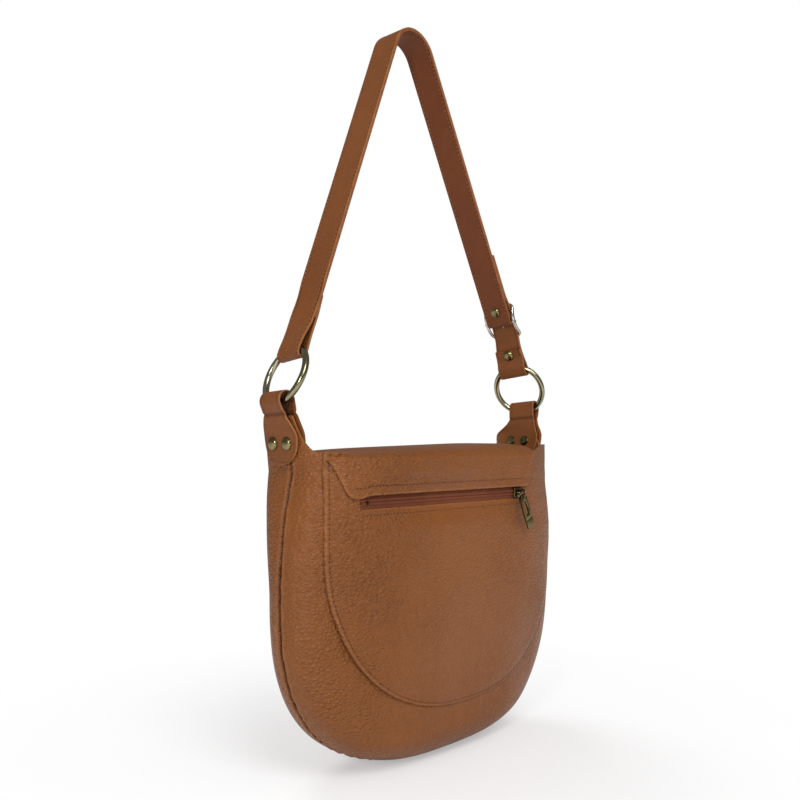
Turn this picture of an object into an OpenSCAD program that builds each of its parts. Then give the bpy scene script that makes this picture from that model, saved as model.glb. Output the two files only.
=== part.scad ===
// Half-moon leather shoulder bag with a top flap, a zipped back pocket and a buckled strap.
// Origin under the middle of the base, +Z up, the pocket side towards -Y, the flap's front towards +Y.

/* [Body] */
// Half of the body's width at its widest
half_w = 150; // [120:1:180]
// Height of the widest section above the base
widest_z = 129; // [110:1:145]
// Half of the body's depth, measured on its leather
half_d = 39; // [30:1:48]
// Height over which the round of the base closes
base_round = 27; // [18:1:36]
// Height of the mouth's edge
mouth_z = 224; // [215:1:240]
// Height of the waist, where the sides start to rise into the ears
waist_z = 214; // [205:1:216]
// How much each side draws in between the widest section and the waist
draw_in = 10.5; // [4:0.5:14]
// Thickness of the body's leather
leather_t = 2; // [1.2:0.1:3]
// Thickness of the lining
lining_t = 0.8; // [0.5:0.1:1.5]
// Room between layers that lie on each other
layer_gap = 0.3; // [0.2:0.05:0.5]

/* [Ears and tabs] */
// Rise of each ear above the mouth
ear_rise = 28; // [20:1:34]
// How far the ears lean out, in degrees
ear_lean = 7; // [3:0.5:12]
// Half of an ear's width at its top
ear_half_w = 11.5; // [9:0.5:14]
// Half of an ear's width where it runs into the mouth
ear_foot_half_w = 31; // [24:1:36]
// Distance of the ears, rings and strap in front of the side seams
carry_y = 7; // [0:0.5:10]
// Thickness of the tabs' leather
tab_t = 2; // [1.4:0.1:2.6]
// Width of a tab where it holds its ring
tab_w = 24; // [18:1:28]
// Radius of a tab's round end
tab_end_r = 17; // [14:0.5:20]
// Height of the rivets above the base
tab_rivet_z = 233; // [228:1:238]
// Distance between a tab's two rivets
tab_rivet_pitch = 14; // [11:0.5:18]

/* [Rings] */
// Outer diameter of the rings
ring_d = 47; // [42:0.5:52]
// Diameter of the rings' wire
wire_d = 4.7; // [3.6:0.1:5.4]
// Distance of a ring's middle inward of the waist's side
ring_inset = 0.5; // [0:0.1:4]
// Height of the rings' middle above the base
ring_z = 279; // [274:1:286]

/* [Strap] */
// Width of the strap
strap_w = 25; // [20:0.5:28]
// Thickness of the strap's outer layer
outer_t = 1.6; // [1.4:0.1:2.4]
// Thickness of the strap's inner layer
inner_t = 1.3; // [1.2:0.1:1.9]
// Lean of each side of the strap towards the middle, in degrees
strap_in = 23.8; // [20:0.2:27]
// Lean of the whole strap towards the flap side, in degrees
strap_forward = 3.2; // [0:0.2:5]
// Radius of the bend at the strap's crown
crown_r = 22.5; // [16:0.5:30]

/* [Buckle] */
// Distance of the buckle's bar above the rivet of the lower strap
bar_run = 29.5; // [26:0.5:38]
// Diameter of the buckle's bar
bar_d = 3; // [2.4:0.1:3.4]
// Distance between the buckle's two end rails
rail_span = 28; // [26:0.5:32]
// Diameter of the end rails
rail_d = 2.8; // [2.2:0.1:3.2]
// Height of the end rails over the bar, away from the strap
rail_rise = 5.6; // [5:0.1:6.5]
// Diameter of the prong
prong_d = 2.2; // [1.8:0.1:2.4]

/* [Back pocket and zip] */
// Width of the pocket panel, as a share of the body's
panel_w_share = 0.8933; // [0.75:0.0001:0.91]
// Height of the pocket panel's lowest edge
panel_z = 41; // [34:1:60]
// Thickness of the pocket panel
panel_t = 1.8; // [1.2:0.1:2.4]
// How far the pocket swells away from the body
pocket_swell = 5.2; // [2:0.1:6]
// Place of the zip's left end, as a share of the body's half width
zip_left_share = -0.7333; // [-0.75:0.0001:-0.6]
// Place of the zip's right end, as a share of the body's half width
zip_right_share = 0.44; // [0.33:0.01:0.6]
// Height of the zip's middle
zip_z = 193.4; // [180:0.2:196]
// Height of the zip's opening
zip_gap = 8.8; // [8:0.1:11]
// Thickness of the zip's tape
tape_t = 0.7; // [0.5:0.1:1]
// Pitch of the zip's teeth
tooth_pitch = 3; // [2.4:0.1:4]

/* [Flap] */
// Thickness of the flap's leather
flap_t = 2.2; // [1.6:0.1:2.8]
// Thickness of the flap's lining
flap_lining_t = 0.8; // [0.5:0.1:1.2]
// Height of the flap's top
flap_top_z = 231; // [229:0.5:240]
// Height of the flap's lowest edge, on the front
flap_tip_z = 92; // [80:1:130]
// Width of the flap at its fold, as a share of the body's
flap_w_share = 0.853; // [0.67:0.001:0.86]
// Width of the flap on the front, as a share of the body's
flap_front_share = 0.72; // [0.6:0.01:0.73]
// Place of the flap's middle, as a share of the body's half width
flap_x_share = -0.033; // [-0.035:0.001:0.03]

/* [Hidden] */

// Overrun of a cut past the face it opens
cut = 1;
// Facets of round shapes
$fn = 48;
// Facets of the round shapes inside a hull
hull_fn = 32;

// Powers of the outline and of the cross-section, low down and at the waist, on the back and on the front
base_power = 2.53;
low_power = 2.68;
back_power = 3.7;
front_power = 5.5;
// Height of the flat that the base rests on, measured into the round
base_flat = 0.5;
// Rows and columns of the soft solids
shell_rows = 15;
waist_row = 12;
half_cols = 18;
panel_rows = 12;
panel_cols = 14;
flap_top_rows = 9;
flap_front_rows = 9;

// Derived places of the body
ear_top = mouth_z + ear_rise;
waist_half_w = half_w - draw_in;
ring_x = waist_half_w - ring_inset;
panel_half_w = half_w * panel_w_share;
zip_left = half_w * zip_left_share;
zip_right = half_w * zip_right_share;
flap_half_w = half_w * flap_w_share;
flap_front_half_w = half_w * flap_front_share;
flap_x = half_w * flap_x_share;

// Half of the body's width at height z, with every wall drawn in by inset
function side_x(z, inset) = z < widest_z
    ? (half_w - inset) * pow(1 - pow((widest_z - z) / (widest_z - inset), base_power), 1 / base_power)
    : z < waist_z
        ? half_w - inset - draw_in * pow((z - widest_z) / (waist_z - widest_z), 2)
        : waist_half_w - inset + (z - waist_z) * tan(ear_lean);
// Half of the body's depth at height z
function side_y(z, inset) = z < base_round
    ? (half_d - inset) * sqrt(1 - pow((base_round - z) / (base_round - inset), 2))
    : half_d - inset;
// Power of the cross-section at height z, for the back or the front
function section_power(z, high_power) = low_power + (high_power - low_power)
    * pow(min(1, max(0, (z - widest_z) / (waist_z - widest_z))), 1.5);
// Depth of the body's leather at x and z
function face_y(x, z, high_power) = side_y(z, 0)
    * pow(max(0, 1 - pow(abs(x) / side_x(z, 0), section_power(z, high_power))), 1 / section_power(z, high_power));
// Height of the mouth's edge at y, with the ear's rise
function edge_z(y) = mouth_z + ear_rise
    * pow(1 - min(1, max(0, (abs(y - carry_y) - ear_half_w) / (ear_foot_half_w - ear_half_w))), 1.6);

// Reach of the cross-section in direction a, as a share of its half width and half depth
function section_share(a, n) = pow(pow(abs(cos(a)), n) + pow(abs(sin(a)), n), -1 / n);
// A point of the body in direction a and row k
function wall_point(a, k, inset, drop) =
    let (
        high_power = sin(a) < 0 ? back_power : front_power,
        edge = edge_z(side_y(mouth_z, inset) * sin(a) * section_share(a, high_power)),
        low = min(1, k / waist_row),
        high = max(0, (k - waist_row) / (shell_rows - waist_row)),
        rise = (1 - cos(90 * low)) * (1 + low) / 2,
        z = base_flat + (waist_z - base_flat) * rise + inset * (1 - rise) + (edge - drop - waist_z) * high,
        share = section_share(a, section_power(z, high_power))
    )
    [side_x(z, inset) * cos(a) * share, side_y(z, inset) * sin(a) * share, z - base_flat];
function wall(a0, cols, da, inset, drop) =
    [for (k = [0:shell_rows]) [for (c = [0:cols]) wall_point(a0 + c * da, k, inset, drop)]];

// A closed sheet between two grids of points. A fan closes the lowest row at a middle point on each grid
module sheet_solid(outer, inner, wrap = false, fan = []) {
    rows = len(outer);
    cols = len(outer[0]);
    last = wrap ? cols - 1 : cols - 2;
    size = rows * cols;
    flat_outer = [for (row = outer) for (p = row) p];
    flat_inner = [for (row = inner) for (p = row) p];
    function o(r, c) = r * cols + c % cols;
    function i(r, c) = size + o(r, c);
    skins = [
        for (r = [0:rows - 2]) for (c = [0:last]) each [
            [o(r, c), o(r + 1, c), o(r + 1, c + 1)], [o(r, c), o(r + 1, c + 1), o(r, c + 1)],
            [i(r, c), i(r + 1, c + 1), i(r + 1, c)], [i(r, c), i(r, c + 1), i(r + 1, c + 1)]
        ]
    ];
    top = [
        for (c = [0:last]) let (r = rows - 1) each [
            [o(r, c), i(r, c), i(r, c + 1)], [o(r, c), i(r, c + 1), o(r, c + 1)]
        ]
    ];
    bottom = len(fan) > 0
        ? [
            for (c = [0:last]) each [
                [2 * size, o(0, c), o(0, c + 1)], [2 * size + 1, i(0, c + 1), i(0, c)]
            ]
        ]
        : [
            for (c = [0:last]) each [
                [o(0, c), i(0, c + 1), i(0, c)], [o(0, c), o(0, c + 1), i(0, c + 1)]
            ]
        ];
    ends = wrap ? [] : [
        for (r = [0:rows - 2]) let (c = cols - 1) each [
            [o(r, 0), i(r, 0), i(r + 1, 0)], [o(r, 0), i(r + 1, 0), o(r + 1, 0)],
            [o(r, c), i(r + 1, c), i(r, c)], [o(r, c), o(r + 1, c), i(r + 1, c)]
        ]
    ];
    fan_ends = wrap || len(fan) == 0 ? [] : let (c = cols - 1) [
        [2 * size, 2 * size + 1, i(0, 0)], [2 * size, i(0, 0), o(0, 0)],
        [2 * size, i(0, c), 2 * size + 1], [2 * size, o(0, c), i(0, c)]
    ];
    polyhedron(
        points = concat(flat_outer, flat_inner, fan),
        faces = concat(skins, top, bottom, ends, fan_ends),
        convexity = 8
    );
}

// Points of an arc round c
function arc(c, r, a0, a1, steps) = [for (k = [0:steps]) c + r * [cos(a0 + (a1 - a0) * k / steps), sin(a0 + (a1 - a0) * k / steps)]];
function unit(v) = v / norm(v);
// Offset of a path's point to its left, so that the strip keeps its thickness round a bend
function left_of(path, k) =
    let (
        last = len(path) - 1,
        a = unit(k > 0 ? path[k] - path[k - 1] : path[1] - path[0]),
        b = unit(k < last ? path[k + 1] - path[k] : path[last] - path[last - 1]),
        m = unit(a + b)
    )
    [-m[1], m[0]] / max(0.5, m * a);
function reversed(list) = [for (k = [len(list) - 1:-1:0]) list[k]];
// A strip of leather along a path, between two offsets to its left
module strip(path, low, high) {
    polygon(concat(
        [for (k = [0:len(path) - 1]) path[k] + low * left_of(path, k)],
        reversed([for (k = [0:len(path) - 1]) path[k] + high * left_of(path, k)])
    ));
}

// Holes for the tab rivets, through the ears
module rivet_holes(r) {
    for (side = [-1, 1]) for (s = [-1, 1])
        on_ear(side, s)
            cylinder(r = r, h = 4 * tab_end_r, center = true);
}

// Body shells
module half_shell(a0) {
    difference() {
        sheet_solid(
            wall(a0, half_cols, 180 / half_cols, 0, 0),
            wall(a0, half_cols, 180 / half_cols, leather_t, 0),
            fan = [[0, 0, 0], [0, 0, leather_t]]
        );
        rivet_holes(post_r + post_gap);
    }
}
module back_shell() {
    color("peru")
        half_shell(-180);
}
module front_shell() {
    color("peru")
        half_shell(0);
}

// Lining, a closed pouch just inside the shells
lining_drop = 4;
module lining() {
    inset = leather_t + layer_gap;
    color("saddlebrown")
        difference() {
            sheet_solid(
                wall(0, 2 * half_cols - 1, 180 / half_cols, inset, lining_drop),
                wall(0, 2 * half_cols - 1, 180 / half_cols, inset + lining_t, lining_drop),
                wrap = true,
                fan = [[0, 0, inset], [0, 0, inset + lining_t]]
            );
            rivet_holes(post_r + post_gap);
        }
}

// Back pocket panel: its outline, its swell and its solid
panel_round_z = 165;
panel_power = 2.3;
panel_edge_gap = 0.9;
swell_power = 6;
panel_top = mouth_z - 1;
function panel_x(z) = z < panel_round_z
    ? panel_half_w * pow(1 - pow((panel_round_z - z) / (panel_round_z - panel_z), panel_power), 1 / panel_power)
    : panel_half_w;
// Place of a column across a panel, closer together towards the edges
function col_share(c) = sin(90 * (2 * c / panel_cols - 1));
function pocket_room(x, z) = panel_edge_gap + pocket_swell
    * (1 - pow(min(1, abs(x) / panel_half_w), swell_power))
    * sin(90 * min(1, (z - panel_z) / (panel_round_z - panel_z)));
function panel_y(x, z) = face_y(x, z, back_power) + pocket_room(x, z);
function panel_grid(z_low, z_high, x_share, lift_share, lift) = [
    for (k = [0:panel_rows])
        let (z = z_low + (z_high - z_low) * (1 - cos(90 * k / panel_rows)))
            [
                for (c = [0:panel_cols])
                    let (x = panel_x(z) * x_share * col_share(c))
                        [x, -(face_y(x, z, back_power) + lift_share * pocket_room(x, z) + lift), z]
            ]
];
module back_pocket_panel() {
    color("peru")
        difference() {
            sheet_solid(
                panel_grid(panel_z + base_flat, panel_top, 1, 1, panel_t),
                panel_grid(panel_z + base_flat, panel_top, 1, 1, 0)
            );
            translate([zip_left, -2 * half_d, zip_z - zip_gap / 2])
                cube([zip_right - zip_left, 2 * half_d, zip_gap]);
        }
}

// Pocket lining, a flat pouch that hangs behind the panel
pouch_low_share = 0.45;
pouch_width_share = 0.6;
pouch_t = 0.5;
pouch_gap = 0.3;
module pocket_lining() {
    z_low = panel_z + (zip_z - panel_z) * pouch_low_share;
    z_high = zip_z - zip_gap / 2 - tape_lap;
    color("tan")
        sheet_solid(
            panel_grid(z_low, z_high, pouch_width_share, 0, pouch_gap + pouch_t),
            panel_grid(z_low, z_high, pouch_width_share, 0, pouch_gap)
        );
}

// Zip: its line across the back, from one end to the other
tape_lap = 3;
teeth_w = 3;
teeth_t = 1.6;
end_share = 0.5;
zip_left_y = -(panel_y(zip_left, zip_z) + panel_t * end_share);
zip_right_y = -(panel_y(zip_right, zip_z) + panel_t * end_share);
zip_run = norm([zip_right - zip_left, zip_right_y - zip_left_y]);
zip_yaw = atan2(zip_right_y - zip_left_y, zip_right - zip_left);
// Puts a shape on the zip's line, X along it and -Y out of the bag
module on_zip() {
    translate([zip_left, zip_left_y, zip_z])
        rotate([0, 0, zip_yaw])
            children();
}
// Leaves the tapes inside the panel's opening where the panel covers them
module zip_tapes() {
    color("firebrick")
        on_zip()
            for (s = [-1, 1])
                translate([layer_gap, -tape_t / 2, s > 0 ? tooth_room : -zip_gap / 2 + layer_gap])
                    cube([zip_run - 2 * layer_gap, tape_t, zip_gap / 2 - tooth_room - layer_gap]);
}
tooth_room = 0.4;
module zip_teeth() {
    count = floor((zip_run - 4 * tooth_pitch) / tooth_pitch);
    color("maroon")
        on_zip()
            translate([2 * tooth_pitch, 0, 0])
                for (k = [0:count - 1]) for (s = [-1, 1])
                    translate([(k + (s > 0 ? 0.5 : 0)) * tooth_pitch, 0, 0])
                        tooth(s);
}
// One element, a block that clasps its tape's edge
tooth_share = 0.42;
tooth_gap = 0.45;
module tooth(s) {
    translate([0, -tape_t / 2 - teeth_t, s > 0 ? tooth_gap : -teeth_w / 2])
        cube([tooth_pitch * tooth_share, teeth_t, teeth_w / 2 - tooth_gap]);
}
stop_l = 3;
module zip_stops() {
    color("goldenrod")
        on_zip()
            for (x = [stop_l / 2, zip_run - stop_l])
                translate([x, -tape_t / 2 - teeth_t, -teeth_w / 2])
                    cube([stop_l / 2, teeth_t, teeth_w]);
}

// Zip slider: two plates joined by a wedge, with a bridge for the pull
slider_l = 9;
slider_w = 7.6;
plate_t = 0.9;
slide_gap = 0.3;
slider_end = 4.5;
wedge_w = 0.6;
bridge_h = 3.4;
bridge_t = 1.2;
bridge_w = 2;
slider_x = zip_run - slider_end - slider_l;
function slider_front() = -(tape_t / 2 + teeth_t + slide_gap);
module slider_plate(y) {
    translate([slider_l / 2, y, 0])
        rotate([90, 0, 0])
            linear_extrude(plate_t)
                intersection() {
                    square([slider_l, slider_w], center = true);
                    circle(r = slider_l * 0.56);
                }
}
module zip_slider() {
    color("darkkhaki")
        on_zip()
            translate([slider_x, 0, 0]) {
                slider_plate(slider_front());
                slider_plate(tape_t / 2 + slide_gap + plate_t);
                // The wedge between the two rows of teeth
                translate([slider_l - plate_t, slider_front() - plate_t / 2, -wedge_w / 2])
                    cube([plate_t, tape_t + teeth_t + 2 * slide_gap + plate_t, wedge_w]);
                slider_bridge();
            }
}
// The bridge stands on the outer plate and the link runs through it
module slider_bridge() {
    y = slider_front() - plate_t;
    translate([slider_l / 2, y, 0])
        for (s = [-1, 1])
            translate([s * (bridge_span / 2) - bridge_t / 2, -bridge_h, -bridge_w / 2])
                cube([bridge_t, bridge_h + plate_t / 2, bridge_w]);
    translate([(slider_l - bridge_span - bridge_t) / 2, y - bridge_h - bridge_t, -bridge_w / 2])
        cube([bridge_span + bridge_t, bridge_t, bridge_w]);
}
bridge_span = 5.4;

// Pull: a ring link round the bridge's crosspiece and a flat tab with a slot
link_d = 1.2;
link_r = 3;
link_out = 0.6;
link_down = 0.75;
eye_outer_r = 1.95;
eye_hole_r = 0.85;
pull_l = 28;
pull_w = 8;
pull_t = 1.4;
pull_neck = 4.6;
pull_slot_w = 2.8;
pull_slot_l = 11;
pull_slot_top = 7;
hang_angle = 25;
// Puts a shape at the middle of the bridge's crosspiece
module on_bridge() {
    on_zip()
        translate([slider_x + slider_l / 2, slider_front() - plate_t - bridge_h - bridge_t / 2, 0])
            children();
}
// The link goes through the bridge and round its crosspiece
module pull_link() {
    color("darkkhaki")
        on_bridge()
            translate([0, -link_out, -link_down])
                rotate([0, 90, 0])
                    rotate_extrude()
                        translate([link_r, 0])
                            circle(d = link_d, $fn = hull_fn);
}
// The tab hangs from the lowest point of the link, a little to the side
module pull_tab() {
    color("darkkhaki")
        on_bridge()
            translate([0, -link_out, -link_down - link_r])
                rotate([90, -hang_angle, 0])
                    linear_extrude(pull_t, center = true)
                        difference() {
                            union() {
                                circle(r = eye_outer_r);
                                translate([-eye_outer_r, -pull_neck - eye_outer_r])
                                    square([2 * eye_outer_r, pull_neck + eye_outer_r]);
                                translate([-pull_w / 2, -pull_l])
                                    square([pull_w, pull_l - pull_neck]);
                            }
                            circle(r = eye_hole_r);
                            translate([-pull_slot_w / 2, -pull_slot_top - pull_slot_l])
                                square([pull_slot_w, pull_slot_l]);
                        }
}

// Flap: one leather sheet from the yoke on the back, over the top and down the front
yoke_low = zip_z + zip_gap / 2;
fold_z = mouth_z - 2;
yoke_low_share = 0.93;
flap_gap = 0.8;
fold_gap = 0.3;
front_gap = 0.9;
flap_round_z = 190;
flap_power = 2.4;
function back_lift(x, z) = panel_y(x, z) + panel_t + flap_gap;
function yoke_half_w(z) = flap_half_w * (yoke_low_share + (1 - yoke_low_share)
    * sqrt(max(0, (z - yoke_low) / (fold_z - yoke_low))));
yoke_rows = 4;
function yoke_grid(lift) = [
    for (k = [0:yoke_rows])
        let (z = yoke_low + (fold_z - fold_gap - yoke_low) * pow(k / yoke_rows, 1.5))
            [
                for (c = [0:panel_cols])
                    let (x = flap_x + col_share(c) * yoke_half_w(z))
                        [x, -(back_lift(x, z) + lift), z]
            ]
];
module flap_yoke() {
    color("peru")
        sheet_solid(yoke_grid(flap_t), yoke_grid(0));
}
// One row of the flap's top or front. The lift is measured out from the flap's inner face
function top_row(k, lift) =
    let (
        u = k / flap_top_rows,
        half = flap_half_w + (flap_front_half_w - flap_half_w) * pow(u, 0.6),
        rise = flap_top_z - flap_t - fold_z + lift
    )
    [
        for (c = [0:panel_cols])
            let (
                x = flap_x + col_share(c) * half,
                y_back = -(back_lift(x, fold_z) + lift),
                y_front = face_y(x, fold_z, front_power) + front_gap + lift,
                mid = (y_back + y_front) / 2,
                reach = (y_front - y_back) / 2,
                a = 180 * (1 - u),
                y = mid + reach * sign(cos(a)) * pow(abs(cos(a)), 2 / top_power),
                drop = 1 - end_drop_share * pow(1 - u, 2) * pow(abs(col_share(c)), end_drop_power),
                z = fold_z + rise * drop * pow(sin(a), 2 / top_power)
            )
            [x, y, z]
    ];
top_power = 4;
// The flap's top dips towards its two ends, on the back only
end_drop_share = 0.35;
end_drop_power = 8;
function front_half_w(z) = z < flap_round_z
    ? flap_front_half_w * pow(1 - pow((flap_round_z - z) / (flap_round_z - flap_tip_z), flap_power), 1 / flap_power)
    : flap_front_half_w;
function front_row(k, lift) =
    let (z = fold_z + (flap_tip_z + base_flat - fold_z) * sin(90 * k / flap_front_rows))
    [
        for (c = [0:panel_cols])
            let (x = flap_x + col_share(c) * front_half_w(z))
                [x, face_y(x, z, front_power) + front_gap + lift, z]
    ];
function flap_grid(low, high, lift) = concat(
    [for (k = [low:flap_top_rows]) top_row(k, lift)],
    [for (k = [1:high]) front_row(k, lift)]
);
module flap() {
    color("peru")
        difference() {
            sheet_solid(
                flap_grid(0, flap_front_rows, flap_lining_t + flap_t),
                flap_grid(0, flap_front_rows, flap_lining_t)
            );
        }
}
module flap_lining() {
    color("saddlebrown")
        difference() {
            sheet_solid(
                flap_grid(1, flap_front_rows - 1, flap_lining_t - lining_cling),
                flap_grid(1, flap_front_rows - 1, 0)
            );
            snap_place()
                cylinder(r = snap_r + layer_gap, h = 4 * (front_gap + flap_lining_t), center = true);
        }
}
lining_cling = 0.1;

// Magnetic snap under the flap
snap_r = 7;
snap_t = 0.5;
snap_z_share = 0.22;
module snap_place() {
    z = flap_tip_z + (flap_round_z - flap_tip_z) * snap_z_share;
    translate([flap_x, half_d, z])
        rotate([-90, 0, 0])
            children();
}
module snap_socket() {
    color("darkkhaki")
        snap_place()
            cylinder(r = snap_r, h = snap_t);
}
module snap_stud() {
    color("darkkhaki")
        snap_place()
            translate([0, 0, front_gap + lining_cling])
                cylinder(r = snap_r, h = snap_t);
}

// Tabs: a strip folded over the ring and riveted through the ear
post_r = 1.5;
post_gap = 0.15;
wire_r = wire_d / 2;
ring_mid_r = (ring_d - wire_d) / 2;
// The wire rises from the middle of a loop to its edges, so a loop is taller than the wire
function loop_rise(w) = sqrt(pow(ring_mid_r - wire_r, 2) - pow(w / 2, 2));
tunnel_gap = 0.3;
tunnel_mid = (ring_mid_r + wire_r + loop_rise(tab_w)) / 2;
tunnel_r = (ring_mid_r + wire_r - loop_rise(tab_w)) / 2 + tunnel_gap;
tunnel_x = ring_x + tunnel_mid * sin(strap_in);
tunnel_z = ring_z - tunnel_mid * cos(strap_in);
ear_pack = leather_t + layer_gap + lining_t;
// Room behind the ear, where the lining curves away from the flat leg
leg_gap = 0.95;
tab_end_drop = 2.5;
tab_low = tab_rivet_z - tab_end_r + tab_end_drop;
// Distance of the ear's outer face from the middle at height z
function ear_x(z) = waist_half_w + (z - waist_z) * tan(ear_lean);
outer_bend_z = tab_rivet_z + 7;
inner_bend_z = ear_top - lining_drop + layer_gap;
tab_arc_steps = 14;
// Direction from c to where the line from p touches the circle of radius r
function touch_angle(c, r, p, s) = atan2(p[1] - c[1], p[0] - c[0]) + s * acos(r / norm(p - c));
function tab_path() =
    let (
        c = [tunnel_x, tunnel_z],
        x_out = layer_gap,
        x_in = -ear_pack - leg_gap,
        p_in = [ear_x(inner_bend_z) + x_in, inner_bend_z],
        p_out = [ear_x(outer_bend_z) + x_out, outer_bend_z],
        a_in = touch_angle(c, tunnel_r, p_in, -1) + 360,
        a_out = touch_angle(c, tunnel_r, p_out, 1)
    )
    concat(
        [[ear_x(tab_low) + x_in, tab_low], p_in],
        arc(c, tunnel_r, a_in, a_out, tab_arc_steps),
        [p_out, [ear_x(tab_low) + x_out, tab_low]]
    );
// The tab's outline seen from the side: a straight neck that widens to a round end
module tab_outline() {
    neck = ear_top - tab_rivet_z;
    hull() {
        translate([-tab_w / 2, neck / 2])
            square([tab_w, neck / 2]);
        translate([0, tab_end_drop])
            circle(r = tab_end_r, $fn = hull_fn * 2);
    }
    translate([-tab_w / 2, 0])
        square([tab_w, tunnel_z + tunnel_r + tab_t + cut - tab_rivet_z]);
}
module tab() {
    color("sienna")
        translate([0, carry_y, 0])
            difference() {
                intersection() {
                    rotate([90, 0, 0])
                        linear_extrude(4 * tab_end_r, center = true)
                            strip(tab_path(), 0, tab_t);
                    translate([0, 0, tab_rivet_z])
                        rotate([90, 0, 90])
                            linear_extrude(2 * ring_x)
                                tab_outline();
                }
                inner_leg_sides();
                translate([0, -carry_y, 0])
                    rivet_holes(post_r + post_gap);
            }
}
// What the inner leg leaves out beside its straight width
module inner_leg_sides() {
    low = tab_low - cut;
    for (s = [-1, 1])
        translate([0, s * (tab_w / 2 + tab_end_r), 0])
            rotate([90, 0, 0])
                linear_extrude(2 * tab_end_r, center = true)
                    polygon([
                        [ear_x(low) - 4 * ear_pack, low],
                        [ear_x(low) - ear_pack / 2, low],
                        [ear_x(inner_bend_z) - ear_pack / 2, inner_bend_z],
                        [ear_x(inner_bend_z) - 4 * ear_pack, inner_bend_z]
                    ]);
}
module left_tab() {
    mirror([1, 0, 0])
        tab();
}
module right_tab() {
    tab();
}

// Rivets: a domed head with its post, and a flat back
head_r = 4.4;
head_t = 1.6;
back_r = 4.2;
back_t = 0.9;
module rivet_head(r, t) {
    intersection() {
        translate([0, 0, t - (r * r + t * t) / (2 * t)])
            sphere(r = (r * r + t * t) / (2 * t), $fn = 96);
        cylinder(r = r, h = t);
    }
}
// Puts a rivet on the ear: Z out of the bag, zero at the ear's outer face
module on_ear(side, s) {
    mirror([side < 0 ? 1 : 0, 0, 0])
        translate([ear_x(tab_rivet_z), carry_y + s * tab_rivet_pitch / 2, tab_rivet_z])
            rotate([0, 90 + ear_lean, 0])
                children();
}
ear_cos = cos(ear_lean);
module tab_rivets() {
    out = layer_gap * ear_cos + tab_t;
    color("darkkhaki")
        for (side = [-1, 1]) for (s = [-1, 1])
            on_ear(side, s) {
                translate([0, 0, out])
                    rivet_head(head_r, head_t);
                translate([0, 0, -post_run])
                    cylinder(r = post_r, h = post_run + out + head_t / 2);
            }
}
post_run = (ear_pack + leg_gap) * ear_cos + tab_t;
module tab_rivet_backs() {
    color("darkkhaki")
        for (side = [-1, 1]) for (s = [-1, 1])
            on_ear(side, s)
                translate([0, 0, -post_run - back_t])
                    cylinder(r = back_r, h = back_t);
}

// Strap frame: origin at the rings' line, leaning forward with the strap
module in_strap() {
    translate([0, carry_y, ring_z])
        rotate([-strap_forward, 0, 0])
            children();
}
// One side of the strap: Z up along it from the ring's middle, X outward from it
module on_side(side) {
    in_strap()
        mirror([side < 0 ? 1 : 0, 0, 0])
            translate([ring_x, 0, 0])
                rotate([0, -strap_in, 0])
                    children();
}
// Runs a profile drawn in X and Z across the strap's width
module across(w) {
    rotate([90, 0, 0])
        linear_extrude(w, center = true)
            children();
}
module ring() {
    rotate([0, 90, 0])
        rotate_extrude($fn = 96)
            translate([ring_mid_r, 0])
                circle(r = wire_r);
}
module left_ring() {
    color("darkkhaki")
        on_side(-1)
            ring();
}
module right_ring() {
    color("darkkhaki")
        on_side(1)
            ring();
}

// Point of the strap's frame from a side's own x and height
function side_point(side, p) = [
    side * (ring_x + p[0] * cos(strap_in) - p[1] * sin(strap_in)),
    p[0] * sin(strap_in) + p[1] * cos(strap_in)
];
function on_left(points) = [for (p = points) side_point(-1, p)];
function on_right(points) = [for (p = points) side_point(1, p)];
// The bend at the crown, from the left side to the right
crown_z = ring_x / tan(strap_in) - crown_r / sin(strap_in);
crown_steps = 22;
crown_arc = arc([0, crown_z], crown_r, 180 - strap_in, strap_in, crown_steps);

// The loops that hold the rings
loop_r = wire_r + layer_gap;
loop_low = loop_rise(strap_w) - layer_gap + loop_r;
loop_high = ring_mid_r + layer_gap;
loop_steps = 10;
loop_close = 40;
inner_start = 44;
return_end = 62;
return_gap = 0.1;
// Outer layer: round the left ring, up, over the crown and down to the buckle
module strap_outer_layer() {
    back_x = -inner_t - return_gap;
    path = concat(
        on_left(concat(
            [[back_x, return_end], [back_x, loop_close], [-loop_r, loop_high]],
            arc([0, loop_low], loop_r, 180, 360, loop_steps),
            [[loop_r, loop_high], [0, loop_close]]
        )),
        crown_arc,
        on_right([[0, outer_end]])
    );
    color("sienna")
        in_strap()
            across(strap_w)
                strip(path, 0, outer_t);
}
bar_r = bar_d / 2;
wrap_gap = 0.15;
wrap_r = bar_r + wrap_gap;
// X of the bar: the inner layer runs straight past it
bar_x = wrap_r;
// Run of the lower rivet above the ring's wire, and of the inner layer's parts above the bar
rivet_run = 9;
press_run = 7;
wrap_run = 18;
head_run = 11;
lower_rivet_w = ring_mid_r + wire_r + rivet_run;
bar_w = lower_rivet_w + bar_run;
press_w = bar_w + press_run;
wrap_end = bar_w + wrap_run;
outer_end = wrap_end + 1;
strap_rivet_w = bar_w + head_run;
prong_slot_w = 4.8;
eye_r = 2.6;
// Inner layer: from the left ring's loop over the crown, round the buckle's bar and back outside
wrap_steps = 12;
module strap_inner_layer() {
    path = concat(
        on_left([[0, inner_start]]),
        crown_arc,
        on_right(concat(
            arc([bar_x, bar_w], wrap_r, 180, 360, wrap_steps),
            [[return_gap, press_w], [return_gap, wrap_end]]
        ))
    );
    color("sienna")
        difference() {
            in_strap()
                across(strap_w)
                    strip(path, -inner_t, 0);
            on_side(1) {
                translate([bar_x, 0, bar_w])
                    cube([4 * wrap_r + 4 * inner_t, prong_slot_w, 2 * eye_r + cut], center = true);
                translate([0, 0, strap_rivet_w])
                    rotate([0, 90, 0])
                        cylinder(r = post_r + post_gap, h = 4 * eye_r, center = true);
            }
        }
}

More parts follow.
